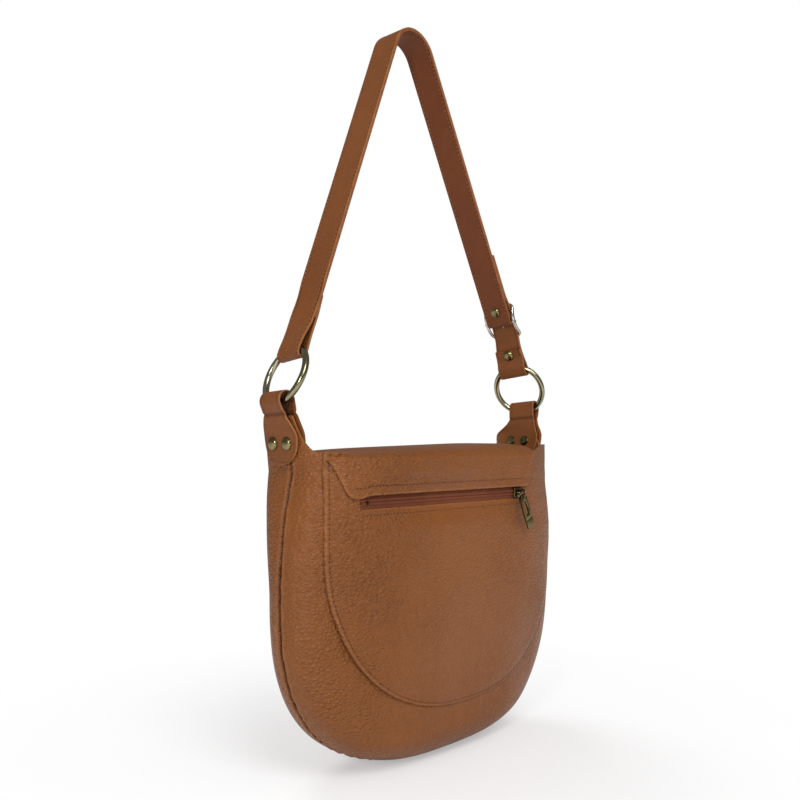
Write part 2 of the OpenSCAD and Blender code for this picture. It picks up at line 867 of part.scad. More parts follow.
// Lower strap: round the right ring, riveted, up through the buckle, its tail outside
lower_t = 2;
rail_x = bar_x + rail_rise;
rail_r = rail_d / 2;
rail_gap = 0.2;
low_rail_w = bar_w - rail_span / 2;
top_rail_w = bar_w + rail_span / 2;
lower_return_end = lower_rivet_w + head_r + rail_gap;
lower_press_x = 1.2;
press_room = 0.8;
tail_run = 60;
tail_end = bar_w + tail_run;
hole_d = 3.4;
hole_pitch = 12;
// The lower strap's inner face, from the end inside the ring's loop to the tail
under_rail_x = rail_x - rail_r - rail_gap - lower_t;
over_wrap_x = bar_x + wrap_r + inner_t + rail_gap;
tail_x = outer_t + 2 * rail_gap;
function lower_path() = concat(
    [
        [lower_press_x - return_gap, lower_return_end],
        [lower_press_x - return_gap, lower_rivet_w - head_r - press_room],
        [-loop_r, loop_high]
    ],
    arc([0, loop_low], loop_r, 180, 360, loop_steps),
    [
        [loop_r, loop_high],
        [lower_press_x, lower_rivet_w - head_r - press_room],
        [lower_press_x, lower_return_end],
        [under_rail_x, low_rail_w - rail_r],
        [under_rail_x, low_rail_w + rail_r],
        [over_wrap_x, bar_w - wrap_r],
        [over_wrap_x, bar_w + wrap_r],
        [under_rail_x, top_rail_w - rail_r],
        [under_rail_x, top_rail_w + rail_r],
        [tail_x, wrap_end + 2 * lower_t],
        [tail_x, tail_end]
    ]
);
module lower_strap() {
    color("sienna")
        on_side(1)
            difference() {
                across(strap_w)
                    strip(lower_path(), -lower_t, 0);
                translate([0, 0, lower_rivet_w])
                    rotate([0, 90, 0])
                        cylinder(r = post_r + post_gap, h = 4 * eye_r, center = true);
                // The hole that the prong stands in, and the spare holes in the tail
                prong_slot();
                for (k = [0:2])
                    translate([tail_x, 0, wrap_end + hole_pitch * (k + 0.75)])
                        rotate([0, 90, 0])
                            cylinder(d = hole_d, h = 4 * lower_t, center = true);
            }
}
module prong_slot() {
    for (w = [low_rail_w + 2 * rail_r + hole_d / 2, bar_w + hole_d / 2])
        translate([over_wrap_x + lower_t / 2, 0, w])
            rotate([0, 90, 0])
                cylinder(d = hole_d, h = 4 * lower_t, center = true);
    translate([over_wrap_x + lower_t / 2, 0, (low_rail_w + 2 * rail_r + bar_w + hole_d) / 2])
        cube([4 * lower_t, hole_d, bar_w - low_rail_w - 2 * rail_r], center = true);
}

// Strap rivets, their heads on the inner face, where they show
module strap_rivets() {
    color("darkkhaki")
        on_side(1) {
            strap_rivet(strap_rivet_w, -inner_t, inner_t + return_gap);
            strap_rivet(lower_rivet_w, lower_press_x - return_gap - lower_t, lower_press_x + lower_t);
        }
}
module strap_rivet(w, x_in, x_out) {
    translate([x_in, 0, w])
        rotate([0, -90, 0]) {
            rivet_head(head_r, head_t);
            translate([0, 0, x_in - x_out])
                cylinder(r = post_r, h = x_out - x_in + head_t / 2);
        }
}
module strap_rivet_backs() {
    color("darkkhaki")
        on_side(1)
            for (p = [[strap_rivet_w, inner_t + return_gap], [lower_rivet_w, lower_press_x + lower_t]])
                translate([p[1], 0, p[0]])
                    rotate([0, 90, 0])
                        cylinder(r = back_r * 0.8, h = back_t);
}

// Buckle: two bowed side rails, an end rail at each end and the bar across the middle
side_t = 2.6;
rail_half_y = strap_w / 2 + 0.6 + side_t / 2;
bow_r = (pow(rail_span / 2, 2) + pow(rail_rise, 2)) / (2 * rail_rise);
module buckle_frame() {
    color("palegoldenrod")
        on_side(1) {
            for (s = [-1, 1])
                translate([0, s * rail_half_y, 0])
                    across(side_t)
                        side_rail();
            for (w = [low_rail_w, top_rail_w])
                translate([rail_x, 0, w])
                    rotate([90, 0, 0])
                        cylinder(r = rail_r, h = 2 * rail_half_y + side_t, center = true);
            translate([bar_x, 0, bar_w])
                rotate([90, 0, 0])
                    cylinder(r = bar_r, h = 2 * rail_half_y + side_t + head_t, center = true);
        }
}
module side_rail() {
    intersection() {
        translate([bar_x + bow_r, bar_w])
            difference() {
                circle(r = bow_r + rail_r, $fn = 96);
                circle(r = bow_r - rail_r, $fn = 96);
            }
        translate([bar_x - 2 * rail_r, low_rail_w])
            square([rail_rise + 3 * rail_r, rail_span]);
    }
}

// Prong: an eye on the bar and a shank that rests on the lower rail
eye_gap = 0.05;
prong_l = 18.5;
rest_gap = 0.1;
prong_r = prong_d / 2;
rest_run = norm([rail_rise, rail_span / 2]);
prong_angle = atan2(rail_rise, rail_span / 2) + asin((rail_r + prong_r + rest_gap) / rest_run);
module buckle_prong() {
    color("palegoldenrod")
        on_side(1)
            translate([bar_x, 0, bar_w])
                difference() {
                    union() {
                        rotate([90, 0, 0])
                            cylinder(r = eye_r, h = prong_d * 1.5, center = true);
                        rotate([0, 180 - prong_angle, 0])
                            translate([0, 0, bar_r])
                                cylinder(r = prong_r, h = prong_l - bar_r);
                    }
                    rotate([90, 0, 0])
                        cylinder(r = bar_r + eye_gap, h = strap_w, center = true);
                }
}

back_shell();
front_shell();
lining();
back_pocket_panel();
pocket_lining();
flap_yoke();
flap();
flap_lining();
snap_socket();
snap_stud();
zip_tapes();
zip_teeth();
zip_stops();
zip_slider();
pull_link();
pull_tab();
left_tab();
right_tab();
tab_rivets();
tab_rivet_backs();
left_ring();
right_ring();
strap_outer_layer();
strap_inner_layer();
lower_strap();
strap_rivets();
strap_rivet_backs();
buckle_frame();
buckle_prong();
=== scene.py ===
# %% [markdown]
# A half-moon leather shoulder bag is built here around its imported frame. The frame gives every body, joint and
# place, and the pieces below give the leather, cloth and brass that show. All lengths are written in millimetres
# and become metres when a vertex is placed, because a maker of bags works in millimetres and Blender in metres.

# %% Load the frame
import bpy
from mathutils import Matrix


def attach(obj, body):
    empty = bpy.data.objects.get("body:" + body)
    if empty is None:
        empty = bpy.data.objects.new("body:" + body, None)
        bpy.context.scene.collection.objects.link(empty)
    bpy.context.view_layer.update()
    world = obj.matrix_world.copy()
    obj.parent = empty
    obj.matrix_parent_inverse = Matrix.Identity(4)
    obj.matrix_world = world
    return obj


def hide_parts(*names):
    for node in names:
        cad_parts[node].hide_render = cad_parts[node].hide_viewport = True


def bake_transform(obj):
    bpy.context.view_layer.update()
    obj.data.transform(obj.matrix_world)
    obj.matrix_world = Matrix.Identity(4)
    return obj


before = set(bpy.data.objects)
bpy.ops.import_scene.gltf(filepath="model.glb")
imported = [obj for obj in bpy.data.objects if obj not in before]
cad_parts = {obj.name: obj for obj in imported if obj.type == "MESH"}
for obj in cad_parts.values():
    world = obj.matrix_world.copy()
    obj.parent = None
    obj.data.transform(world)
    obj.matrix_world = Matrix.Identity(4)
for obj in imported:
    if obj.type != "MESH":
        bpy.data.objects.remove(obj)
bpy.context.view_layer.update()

# %% [markdown]
# A few tools come first. Operators act on all that is selected, so each tool begins by selecting only its own piece.
# The last ones are the small formulas that the whole bag is drawn with: a soft step, a ridge and a quarter round.

# %% Tools of the lesson
import math

import bpy
from mathutils import Matrix, Vector, noise

MM = 0.001


def take_only(piece=None):
    if bpy.context.object and bpy.context.object.mode == "EDIT":
        bpy.ops.object.mode_set(mode="OBJECT")
    bpy.ops.object.select_all(action="DESELECT")
    if piece:
        piece.select_set(True)
        bpy.context.view_layer.objects.active = piece


def finish_with(piece, kind, **values):
    take_only(piece)
    modifier = piece.modifiers.new(kind.title(), kind)
    for name, value in values.items():
        setattr(modifier, name, value)
    bpy.ops.object.modifier_apply(modifier=modifier.name)


def select_faces(piece, test):
    """Leaves the piece in edit mode with the faces selected whose middle, in mm, passes the test."""
    take_only(piece)
    bpy.ops.object.mode_set(mode="EDIT")
    bpy.ops.mesh.select_mode(type="FACE")
    bpy.ops.mesh.select_all(action="DESELECT")
    bpy.ops.object.mode_set(mode="OBJECT")
    for face in piece.data.polygons:
        face.select = test(face.center / MM)
    bpy.ops.object.mode_set(mode="EDIT")


def close_and_turn(piece, fill=False):
    take_only(piece)
    bpy.ops.object.mode_set(mode="EDIT")
    bpy.ops.mesh.select_all(action="SELECT")
    bpy.ops.mesh.remove_doubles(threshold=0.00001)
    if fill:
        bpy.ops.mesh.fill_holes(sides=0)
    bpy.ops.mesh.select_all(action="SELECT")
    bpy.ops.mesh.normals_make_consistent(inside=False)
    bpy.ops.object.mode_set(mode="OBJECT")


def smooth(piece, degrees=50):
    take_only(piece)
    bpy.ops.object.shade_smooth_by_angle(angle=math.radians(degrees))


def put(piece, matrix):
    """Moves the mesh itself to a place written in mm, so the object stays at the origin."""
    matrix = matrix.copy()
    matrix.translation *= MM
    piece.data.transform(matrix)


def merged(name, parts):
    take_only(parts[0])
    for part in parts:
        part.select_set(True)
    if len(parts) > 1:
        bpy.ops.object.join()
    piece = bpy.context.object
    piece.name = name
    return piece


def add_wear_and_shade(piece):
    return piece.data.attributes.new("wear_and_shade", "FLOAT", "POINT").data


def handed_in(piece, body, slot, *nodes):
    """Ties a finished piece to its body and hides the frame's nodes that it stands for. The slot is not used."""
    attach(piece, body)
    if nodes:
        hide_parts(*nodes)
    size = [round(v / MM) for v in piece.dimensions]
    print(piece.name, len(piece.data.polygons), "faces,", size, "mm")
    return piece


def clamp(value, low=0.0, high=1.0):
    return min(high, max(low, value))


def ease(value):
    """A soft step from 0 to 1."""
    value = clamp(value)
    return value * value * (3 - 2 * value)


def ridge(value, at, width):
    """A bell of height 1 at one place."""
    return math.exp(-(((value - at) / width) ** 2))


def quarter_round(distance, radius):
    """Height of a rounded edge, from 0 at the edge to 1 one radius in."""
    return math.sqrt(1 - (1 - clamp(distance / radius)) ** 2)


def wave(x, y, z):
    """Smooth noise, about one swell to each unit."""
    return noise.noise(Vector((x, y, z)))


# %% [markdown]
# Soft pieces are lofted. A flat grid is added as a primitive, and each of its vertices is moved to its place on the
# piece's surface, much as a sculptor pulls a net over a form. The same call can leave a number on each vertex,
# "wear_and_shade", which the leather reads: above zero an edge is rubbed pale, below zero a fold or seam is painted
# dark as shade.

# %% Loft a sheet from a grid
def lofted(name, columns, rows, place):
    take_only()
    bpy.ops.mesh.primitive_grid_add(x_subdivisions=columns, y_subdivisions=rows, size=2)
    piece = bpy.context.object
    piece.name = name
    wear_and_shade = add_wear_and_shade(piece)
    for index, vertex in enumerate(piece.data.vertices):
        i = round((vertex.co.x + 1) / 2 * columns)
        j = round((vertex.co.y + 1) / 2 * rows)
        x, y, z, wear_and_shade_value = place(i, j)
        vertex.co = (x * MM, y * MM, z * MM)
        wear_and_shade[index].value = wear_and_shade_value
    return piece


# %% [markdown]
# The body is a half-moon seen from the front and a rounded box seen from above. Its outline and its cross-section
# are both superellipses: round low down, squarer at the waist. These are the same formulas that shaped the frame.

# %% The body's surface
HALF_W, WIDEST, HALF_D, BASE_ROUND = 150, 129, 39, 27
MOUTH, WAIST, DRAW_IN, CARRY_Y = 224, 214, 10.5, 7
LEAN = math.tan(math.radians(7))
WAIST_W = HALF_W - DRAW_IN
BACK, FRONT = -1, 1
LOW_POWER, HIGH_POWER = 2.68, {BACK: 3.7, FRONT: 5.5}
OUTLINE_POWER = 2.53
EAR_RISE, FOOT_RISE = 28, 3


def power_at(z, side):
    return LOW_POWER + (HIGH_POWER[side] - LOW_POWER) * clamp((z - WIDEST) / (WAIST - WIDEST)) ** 1.5


def side_x(z, inset=0):
    if z < WIDEST:
        up = ((WIDEST - z) / (WIDEST - inset)) ** OUTLINE_POWER
        return (HALF_W - inset) * (1 - up) ** (1 / OUTLINE_POWER)
    if z < WAIST:
        return HALF_W - inset - DRAW_IN * ((z - WIDEST) / (WAIST - WIDEST)) ** 2
    return WAIST_W - inset + (z - WAIST) * LEAN


def ear_x(z):
    return WAIST_W + (z - WAIST) * LEAN


def side_y(z, inset=0):
    if z < BASE_ROUND:
        return (HALF_D - inset) * math.sqrt(max(0, 1 - ((BASE_ROUND - z) / (BASE_ROUND - inset)) ** 2))
    return HALF_D - inset


def reach(angle, power):
    return (abs(math.cos(angle)) ** power + abs(math.sin(angle)) ** power) ** (-1 / power)


def edge_z(y):
    """The ears stand up round the carry line, and a low foot runs out of them along the mouth."""
    off = abs(y - CARRY_Y)
    ear = (1 - clamp((off - 11.5) / 19.5)) ** 1.9
    return MOUTH + EAR_RISE * ear + FOOT_RISE * (1 - ear) * (1 - ease((off - 30) / 14))


def slack(x, z, side):
    """How far the leather stands off its plain form, in mm: broad, soft and different on the two sides."""
    return 1.5 * wave(x / 85, side * 3.1, z / 62) + 0.45 * wave(x / 34, side * 7.7, z / 24)


def pinch(x, z, side):
    """The back's right shoulder has sunk a little, as the photo shows."""
    return 1 - (0.16 * ease((x - 74) / 50) * ease((z - 150) / 55) if side == BACK else 0)


def face_y(x, z, side=BACK):
    power = power_at(z, side)
    flat = max(0, 1 - (abs(x) / side_x(z)) ** power) ** (1 / power)
    return side_y(z) * flat * (1 + slack(x, z, side) / HALF_D) * pinch(x, z, side)


def outline_normal(x, z):
    """Square to the half-moon's outline, in the plane of the seam."""
    if z >= WIDEST:
        return Vector((math.copysign(1, x), 0, 0))
    power = OUTLINE_POWER - 1
    nx = math.copysign((abs(x) / HALF_W) ** power / HALF_W, x)
    nz = -(((WIDEST - z) / WIDEST) ** power) / WIDEST
    return Vector((nx, 0, nz)).normalized()


print("waist half width", WAIST_W, "depth", 2 * HALF_D)

# %% [markdown]
# Each shell is cut, sewn to the other along the sides and the base, and turned. A turned seam sinks into a groove
# with a plump roll on each side, and the thread gathers the leather into small puckers. The groove is painted dark
# as shade and the rolls are rubbed pale. All of that is a function of the distance from the seam, so it is added to
# the loft itself and needs no sculpting by hand.

# %% Seam relief
PUCKER_STEP = 3.7


def seam_relief(x, y, z, side):
    """Height, rubbing and painted shade beside the side seam, which lies in the plane y = 0."""
    off = abs(y)
    groove = -1.9 * ridge(off, 0, 0.9)
    roll = 0.55 * ridge(off, 2.8, 1.6)
    along = 140 * math.atan2(z - WIDEST, abs(x) + 1) * (1 if x > 0 else 1.03)
    phase = 6.283 * along / PUCKER_STEP + 3.4 * wave(along / 9, side * 2.0, x / 60)
    strength = 0.34 + 0.36 * wave(along / 21, side * 4.0, 1.0)
    pucker = strength * math.sin(phase) * ridge(off, 2.4, 4.4) * (1 - math.exp(-off * off))
    # Painted shade: the groove is coloured dark. The rolls beside it are rubbed pale.
    dark = -ridge(off, 0, 1.3)
    pale = 0.5 * ridge(off, 2.6, 1.2)
    return groove + roll + pucker, dark + pale


BASE_ROWS, LOW_ROWS, HIGH_ROWS, SHELL_COLUMNS = 9, 92, 24, 150
FOOT_Z = 0.5
BASE_SEAM_X, BASE_SEAM_Z = -2, 48


def shell_height(row, mouth_y, inset=0, drop=0):
    """Height of a row: close together near the base, then even up to the mouth's edge."""
    low = clamp((row - BASE_ROWS) / LOW_ROWS)
    high = clamp((row - BASE_ROWS - LOW_ROWS) / HIGH_ROWS)
    rise = (1 - math.cos(math.pi / 2 * low)) * (1 + low) / 2
    edge = edge_z(mouth_y) - drop
    return FOOT_Z + (WAIST - FOOT_Z) * rise + inset * (1 - rise) + (edge - WAIST) * high


def shell_place(side):
    def place(i, j):
        u = i / SHELL_COLUMNS
        turn = u - 0.72 * math.sin(2 * math.pi * u) / (2 * math.pi)
        angle = math.pi * (turn - 1 if side == BACK else turn)
        mouth_y = side_y(MOUTH) * math.sin(angle) * reach(angle, HIGH_POWER[side])
        z = shell_height(j, mouth_y)
        share = reach(angle, power_at(z, side))
        x = side_x(z) * math.cos(angle) * share
        y = side_y(z) * math.sin(angle) * share * min(1, j / BASE_ROWS)
        z -= FOOT_Z
        y *= (1 + slack(x, z, side) / HALF_D) * pinch(x, z, side)
        relief, wear_and_shade_value = seam_relief(x, y, z, side)
        if side == BACK and z < BASE_SEAM_Z:
            sunk = ridge(x, BASE_SEAM_X, 0.9)
            y += 1.1 * sunk * ease((BASE_SEAM_Z - z) / 8)
            # Painted shade: the sunk centre seam is coloured darker.
            wear_and_shade_value -= 0.7 * sunk
        top = edge_z(mouth_y) - FOOT_Z - z
        wear_and_shade_value += 0.5 * ridge(top, 0, 1.2)
        fade = ease((edge_z(mouth_y) - 3 - z) / 12)
        p = Vector((x, y, z)) + outline_normal(x, z) * relief * fade
        return p.x, p.y, max(0.0, p.z), wear_and_shade_value
    return place


# %% Back and front shells
def leather_shell(name, side, node):
    shell = lofted(name, SHELL_COLUMNS, BASE_ROWS + LOW_ROWS + HIGH_ROWS, shell_place(side))
    finish_with(shell, "SOLIDIFY", thickness=1.9 * MM, offset=-1)
    finish_with(shell, "BEVEL", width=0.5 * MM, segments=2, limit_method="ANGLE", angle_limit=math.radians(60))
    close_and_turn(shell)
    smooth(shell, 70)
    return handed_in(shell, "bag", "body_leather", node)


back_leather = leather_shell("back_shell_leather", BACK, "back_shell")
front_leather = leather_shell("front_shell_leather", FRONT, "front_shell")

# %% [markdown]
# The lining is a plain cloth pouch sewn in at the mouth. It is lofted from the same form, set in by the leather's
# thickness, with the shallow folds that loose cloth takes.

# %% Lining
LINING_COLUMNS, LINING_ROWS = 120, 60
LINING_INSET, LINING_DROP = 2.35, 4


def lining_place(i, j):
    angle = 2 * math.pi * (i % LINING_COLUMNS) / LINING_COLUMNS
    row = BASE_ROWS + (LOW_ROWS + HIGH_ROWS) * j / LINING_ROWS
    side = FRONT if math.sin(angle) > 0 else BACK
    mouth_y = side_y(MOUTH, LINING_INSET) * math.sin(angle) * reach(angle, HIGH_POWER[side])
    z = shell_height(row, mouth_y, LINING_INSET, LINING_DROP)
    share = reach(angle, power_at(z, side))
    x = side_x(z, LINING_INSET) * math.cos(angle) * share
    y = side_y(z, LINING_INSET) * math.sin(angle) * share * pinch(x, z, side)
    if j == 0:
        x, y = x * 0.02, y * 0.02
    fold = wave(x / 30, y / 9, z / 45) * ease((215 - z) / 60) * ease(z / 30)
    wear_and_shade_value = 0.4 if edge_z(mouth_y) - LINING_DROP - z < 2 else 0
    return x * (1 - 0.028 * abs(fold)), y * (1 - 0.05 * abs(fold)), z - FOOT_Z, wear_and_shade_value


lining_cloth = lofted("lining_cloth", LINING_COLUMNS, LINING_ROWS, lining_place)
close_and_turn(lining_cloth)
finish_with(lining_cloth, "SOLIDIFY", thickness=0.7 * MM, offset=-1)
smooth(lining_cloth, 60)
handed_in(lining_cloth, "bag", "lining_cloth", "lining")

# %% [markdown]
# The back pocket is a U-shaped panel with a turned edge, stitched round its sides and its foot. To make the mesh
# run along that edge, a square net is bent into a half disc: its outer loops then follow the U, and the roll of the
# edge and the line of the stitches need only a function of the distance to the edge. A window is left for the zip.

# %% A net that follows a U
def u_point(p, q, half, depth, shoulder, top, power):
    """A point of a U-shaped net: straight sides above the shoulder, a half superellipse below it."""
    if q >= 0:
        return half * p, shoulder + (top - shoulder) * q
    cx, cz = p * math.sqrt(1 - q * q / 2), q * math.sqrt(1 - p * p / 2)
    out = reach(math.atan2(cz, cx), power) if cx or cz else 1
    return half * cx * out, shoulder + depth * cz * out


def u_edge(x, z, half, depth, shoulder, power):
    """Distance from a point to the U's edge."""
    if z >= shoulder:
        return half - abs(x)
    a, b = abs(x) / half, (shoulder - z) / depth
    rho = (a ** power + b ** power) ** (1 / power)
    if rho < 0.2:
        return 60.0
    slope = rho ** (1 - power) * math.hypot(a ** (power - 1) / half, b ** (power - 1) / depth)
    return max(0.0, (1 - rho) / slope)


PANEL = dict(half=134, depth=124, shoulder=165, power=2.3)
PANEL_W, PANEL_Z, PANEL_LOW, PANEL_TOP = PANEL["half"], PANEL["shoulder"], 41, 223
WINDOW_X0, WINDOW_X1, WINDOW_Z0, WINDOW_Z1 = -110, 66, 189.0, 197.8
WINDOW_W = WINDOW_X1 - WINDOW_X0
FINE = [0, 0.5, 1.1, 1.8, 2.5, 2.9, 3.3, 3.7, 4.3, 5.2, 6.5, 8.5, 11.5]
POCKET_STITCH, ZIP_STITCH = 2.6, 4.6
print("pocket", 2 * PANEL_W, "mm wide, zip window", WINDOW_W, "mm long")


def panel_columns():
    """Shares of the half width, close together at the edges and at the window's two ends."""
    xs = [-PANEL_W + g for g in FINE] + [PANEL_W - g for g in FINE]
    xs += [WINDOW_X0 + g for g in (-2, -1, -0.4, 0, 1.5)] + [WINDOW_X1 + g for g in (-1.5, 0, 0.4, 1, 2)]
    xs += [-119 + 4 * k for k in range(60)]
    keep = []
    for x in sorted(xs):
        if not keep or x - keep[-1] >= 0.39:
            keep.append(x)
        elif x in (WINDOW_X0, WINDOW_X1):
            keep[-1] = x
    return [x / PANEL_W for x in keep]


def panel_rows():
    """Shares of the depth below the shoulder, then of the height above it."""
    low = [-1 + g / 115 for g in FINE] + [-0.88 + 0.88 * k / 26 for k in range(26)]
    zs = [PANEL_Z + 4 * k for k in range(6)] + [186.3, 187.2, 188, 188.5, WINDOW_Z0, 191.5, 194, WINDOW_Z1]
    zs += [198.3, 200, 204, 208, 212, 216, 219, 221, 222, PANEL_TOP]
    return low + [(z - PANEL_Z) / (PANEL_TOP - PANEL_Z) for z in zs]


P_LIST, Q_LIST = panel_columns(), panel_rows()


def pocket_room(x, z):
    """The room between the bag and its pocket, largest in the middle of the top."""
    across = 1 - min(1, abs(x) / PANEL_W) ** 6
    return 0.9 + 5.2 * across * math.sin(math.pi / 2 * clamp((z - PANEL_LOW) / (PANEL_Z - PANEL_LOW)))


ZIP_LEFT_Y, ZIP_RIGHT_Y = 38.80, 45.05
POCKET_T = 1.8


def zip_depth(x):
    """Depth of the zip's straight line at x."""
    return ZIP_LEFT_Y + (ZIP_RIGHT_Y - ZIP_LEFT_Y) * (x - WINDOW_X0) / WINDOW_W


def zip_sink(x, z, face):
    """How far the zip pulls the leather in beside its window."""
    off = math.hypot(max(0, WINDOW_X0 - x, x - WINDOW_X1), max(0, WINDOW_Z0 - z, z - WINDOW_Z1))
    return max(0, face - zip_depth(clamp(x, WINDOW_X0, WINDOW_X1)) - 0.9) * (1 - ease(off / 17))


def panel_face(x, z):
    """Depth of the panel's outer face, before the roll of its edge."""
    bag_out = 0.5 * wave(x / 46, 9.3, z / 30)
    crease = 0.35 * wave(x / 60, 4.2, z / 7) * ease((z - 120) / 60)
    press = 1.2 * (1 - ease(u_edge(x, z, **PANEL) / 10))
    face = face_y(x, z) + pocket_room(x, z) + POCKET_T - press + bag_out + crease
    return face - zip_sink(x, z, face)


def panel_place(i, j):
    x, z = u_point(P_LIST[i], Q_LIST[j], top=PANEL_TOP, **PANEL)
    edge = u_edge(x, z, **PANEL)
    z += ease((z - 195) / 28) * (7.5 * ease((x - 70) / 45) + 4.0 * ease((-108 - x) / 22))
    inside_x = min(x - WINDOW_X0, WINDOW_X1 - x)
    window = math.hypot(max(0, -inside_x), max(0, WINDOW_Z0 - z, z - WINDOW_Z1))
    roll = 1.5 * (1 - quarter_round(edge, 1.4))
    lip = 1.1 * (1 - quarter_round(window, 1.3))
    row = ridge(edge, POCKET_STITCH, 0.4)
    zip_row = 0.3 * ridge(WINDOW_Z0 - ZIP_STITCH - z, 0, 0.5) * (inside_x > -3)
    plump = 0.2 * ridge(edge, 1.7, 0.9)
    y = panel_face(x, z) - roll - lip - 0.2 * row - zip_row + plump
    # Rubbed pale along the rolled edge and the window's lip; painted shade darkens the stitch groove, and a thin
    # painted shadow line runs along the very edge.
    wear_and_shade_value = 0.7 * ridge(edge, 0.8, 0.6) - 0.25 * row - ridge(edge, 0, 0.3) + 0.5 * ridge(window, 0.8, 0.6)
    return x, -y, z, wear_and_shade_value


panel_leather = lofted("back_pocket_leather", len(P_LIST) - 1, len(Q_LIST) - 1, panel_place)
print("net of the pocket", len(P_LIST), "by", len(Q_LIST))

# %% Cut the zip's window and give the panel its thickness
select_faces(panel_leather, lambda c: WINDOW_X0 < c.x < WINDOW_X1 and WINDOW_Z0 < c.z < WINDOW_Z1)
bpy.ops.mesh.delete(type="FACE")
bpy.ops.object.mode_set(mode="OBJECT")
finish_with(panel_leather, "SOLIDIFY", thickness=1.3 * MM, offset=-1)
smooth(panel_leather, 60)
handed_in(panel_leather, "bag", "body_leather", "back_pocket_panel")

# %% [markdown]
# Behind the zip hangs a flat cloth pouch. It lies against the bag's back and is hardly seen, so a plain sheet with a
# few ripples is enough for it.

# %% Pocket lining
POUCH_COLUMNS, POUCH_ROWS = 40, 24


def pouch_place(i, j):
    x = 80 * (2 * i / POUCH_COLUMNS - 1)
    z = 110 + 76.5 * j / POUCH_ROWS
    y = face_y(x, z) + 0.45 + 0.25 * wave(x / 16, 2.2, z / 12)
    return x, -max(face_y(x, z) + 0.35, y) - 0.4, z, 0


pouch_cloth = lofted("pocket_lining_cloth", POUCH_COLUMNS, POUCH_ROWS, pouch_place)
finish_with(pouch_cloth, "SOLIDIFY", thickness=0.5 * MM, offset=-1)
smooth(pouch_cloth)
handed_in(pouch_cloth, "bag", "lining_cloth", "pocket_lining")

# %% [markdown]
# The flap is one piece of leather. It starts as a yoke that is stitched down above the zip, turns over the mouth and
# hangs down the front. It is lofted in one sweep with its fold over the mouth, as the real leather is one piece, so
# no joint line shows.

# %% The flap's sweep
FLAP = dict(half=108, depth=98, shoulder=190, power=2.4)
FLAP_W, FLAP_X, FLAP_T, FLAP_TOP = FLAP["half"], -5, 3.0, 220
YOKE_LOW, FOLD, YOKE_STITCH, FLAP_STITCH = WINDOW_Z1, 222, 6.5, 3.5
LINING_LIFT, AIR = 0.75, 0.9


def yoke_spread(z):
    """How far the yoke reaches past the zip's two ends: a round corner, then a slant."""
    up = z - YOKE_LOW
    corner = quarter_round(up, 4.5)
    return 6 + 5.5 * corner + 0.48 * up + 0.1 * max(0, up - 20) ** 2, 2.5 * corner + 0.33 * up


def yoke_sag(x, up):
    """The yoke's lower left corner hangs a little, outside the slider's way."""
    return 2.0 * ease((-105 - x) / 10) * (1 - clamp(up / 20))


def yoke_ends(z):
    left, right = yoke_spread(z)
    return WINDOW_X0 - left, WINDOW_X1 + 2 + right


def yoke_face(x, z):
    """Depth of the yoke's outer face, which lies on the pocket."""
    swell = 0.4 * wave(x / 38, 1.4, z / 14)
    plain = face_y(x, z) + pocket_room(x, z) + POCKET_T
    return plain - zip_sink(x, z, plain) + 2.6 + 0.8 * ease((z - 205) / 17) + swell


def flap_front(x, z, lift):
    """Depth of the flap where it hangs down the front, a little loose."""
    hang = 0.5 + 0.5 * wave(x / 50, 5.5, z / 40)
    return face_y(x, z, FRONT) + AIR + lift + hang


def flap_top_point(x, p, u, lift):
    """The flap over the mouth. Its two ends sink towards the mouth's edge."""
    y_back = -(face_y(x, FOLD) + pocket_room(x, FOLD) + POCKET_T + 0.4 + lift)
    y_front = face_y(x, FOLD, FRONT) + AIR + lift
    middle, half = (y_back + y_front) / 2, (y_front - y_back) / 2
    angle = math.pi * (1 - u)
    power = 0.5 + 0.2 * (1 - ease(2 * u))
    y = middle + half * math.copysign(abs(math.cos(angle)) ** power, math.cos(angle))
    towards_back = ease(1.7 * (y_front - y) / (y_front - y_back) - 0.35)
    sunk = (2.6 + 1.2 * towards_back) * p ** 4 if p < 0 else 2.0 * p ** 8
    rise = max(2.2, 5.6 + 0.022 * x - sunk) + lift
    z = FOLD + rise * abs(math.sin(angle)) ** power
    return y, z


YOKE_UPS = (0, 0.4, 0.9, 1.5, 2.2, 3, 3.8, 4.6, 5.4, 6.2, 7, 8, 9.5, 11.5, 13.5, 16, 18.5, 21, 23)
YOKE_ZS = [YOKE_LOW + up for up in YOKE_UPS]
TOP_US = [0.5 - 0.5 * math.cos(math.pi * (k + 0.5) / 30) for k in range(30)]
FRONT_ZS = [221 - 4 * k for k in range(8)]
TIP_QS = [-k / 30 * 0.88 for k in range(30)] + [-1 + g / 90 for g in reversed(FINE)]
TOP_FROM = len(YOKE_ZS)
FRONT_FROM = TOP_FROM + len(TOP_US)
TIP_FROM = FRONT_FROM + len(FRONT_ZS)
FLAP_ROWS = TIP_FROM + len(TIP_QS)


def flap_shares():
    """Shares of the half width, close together at the two edges."""
    xs = [-FLAP_W + g for g in FINE] + [FLAP_W - g for g in FINE]
    xs += [-FLAP_W + 15 + (2 * FLAP_W - 30) * k / 50 for k in range(51)]
    return [x / FLAP_W for x in sorted(xs)]


FLAP_PS = flap_shares()


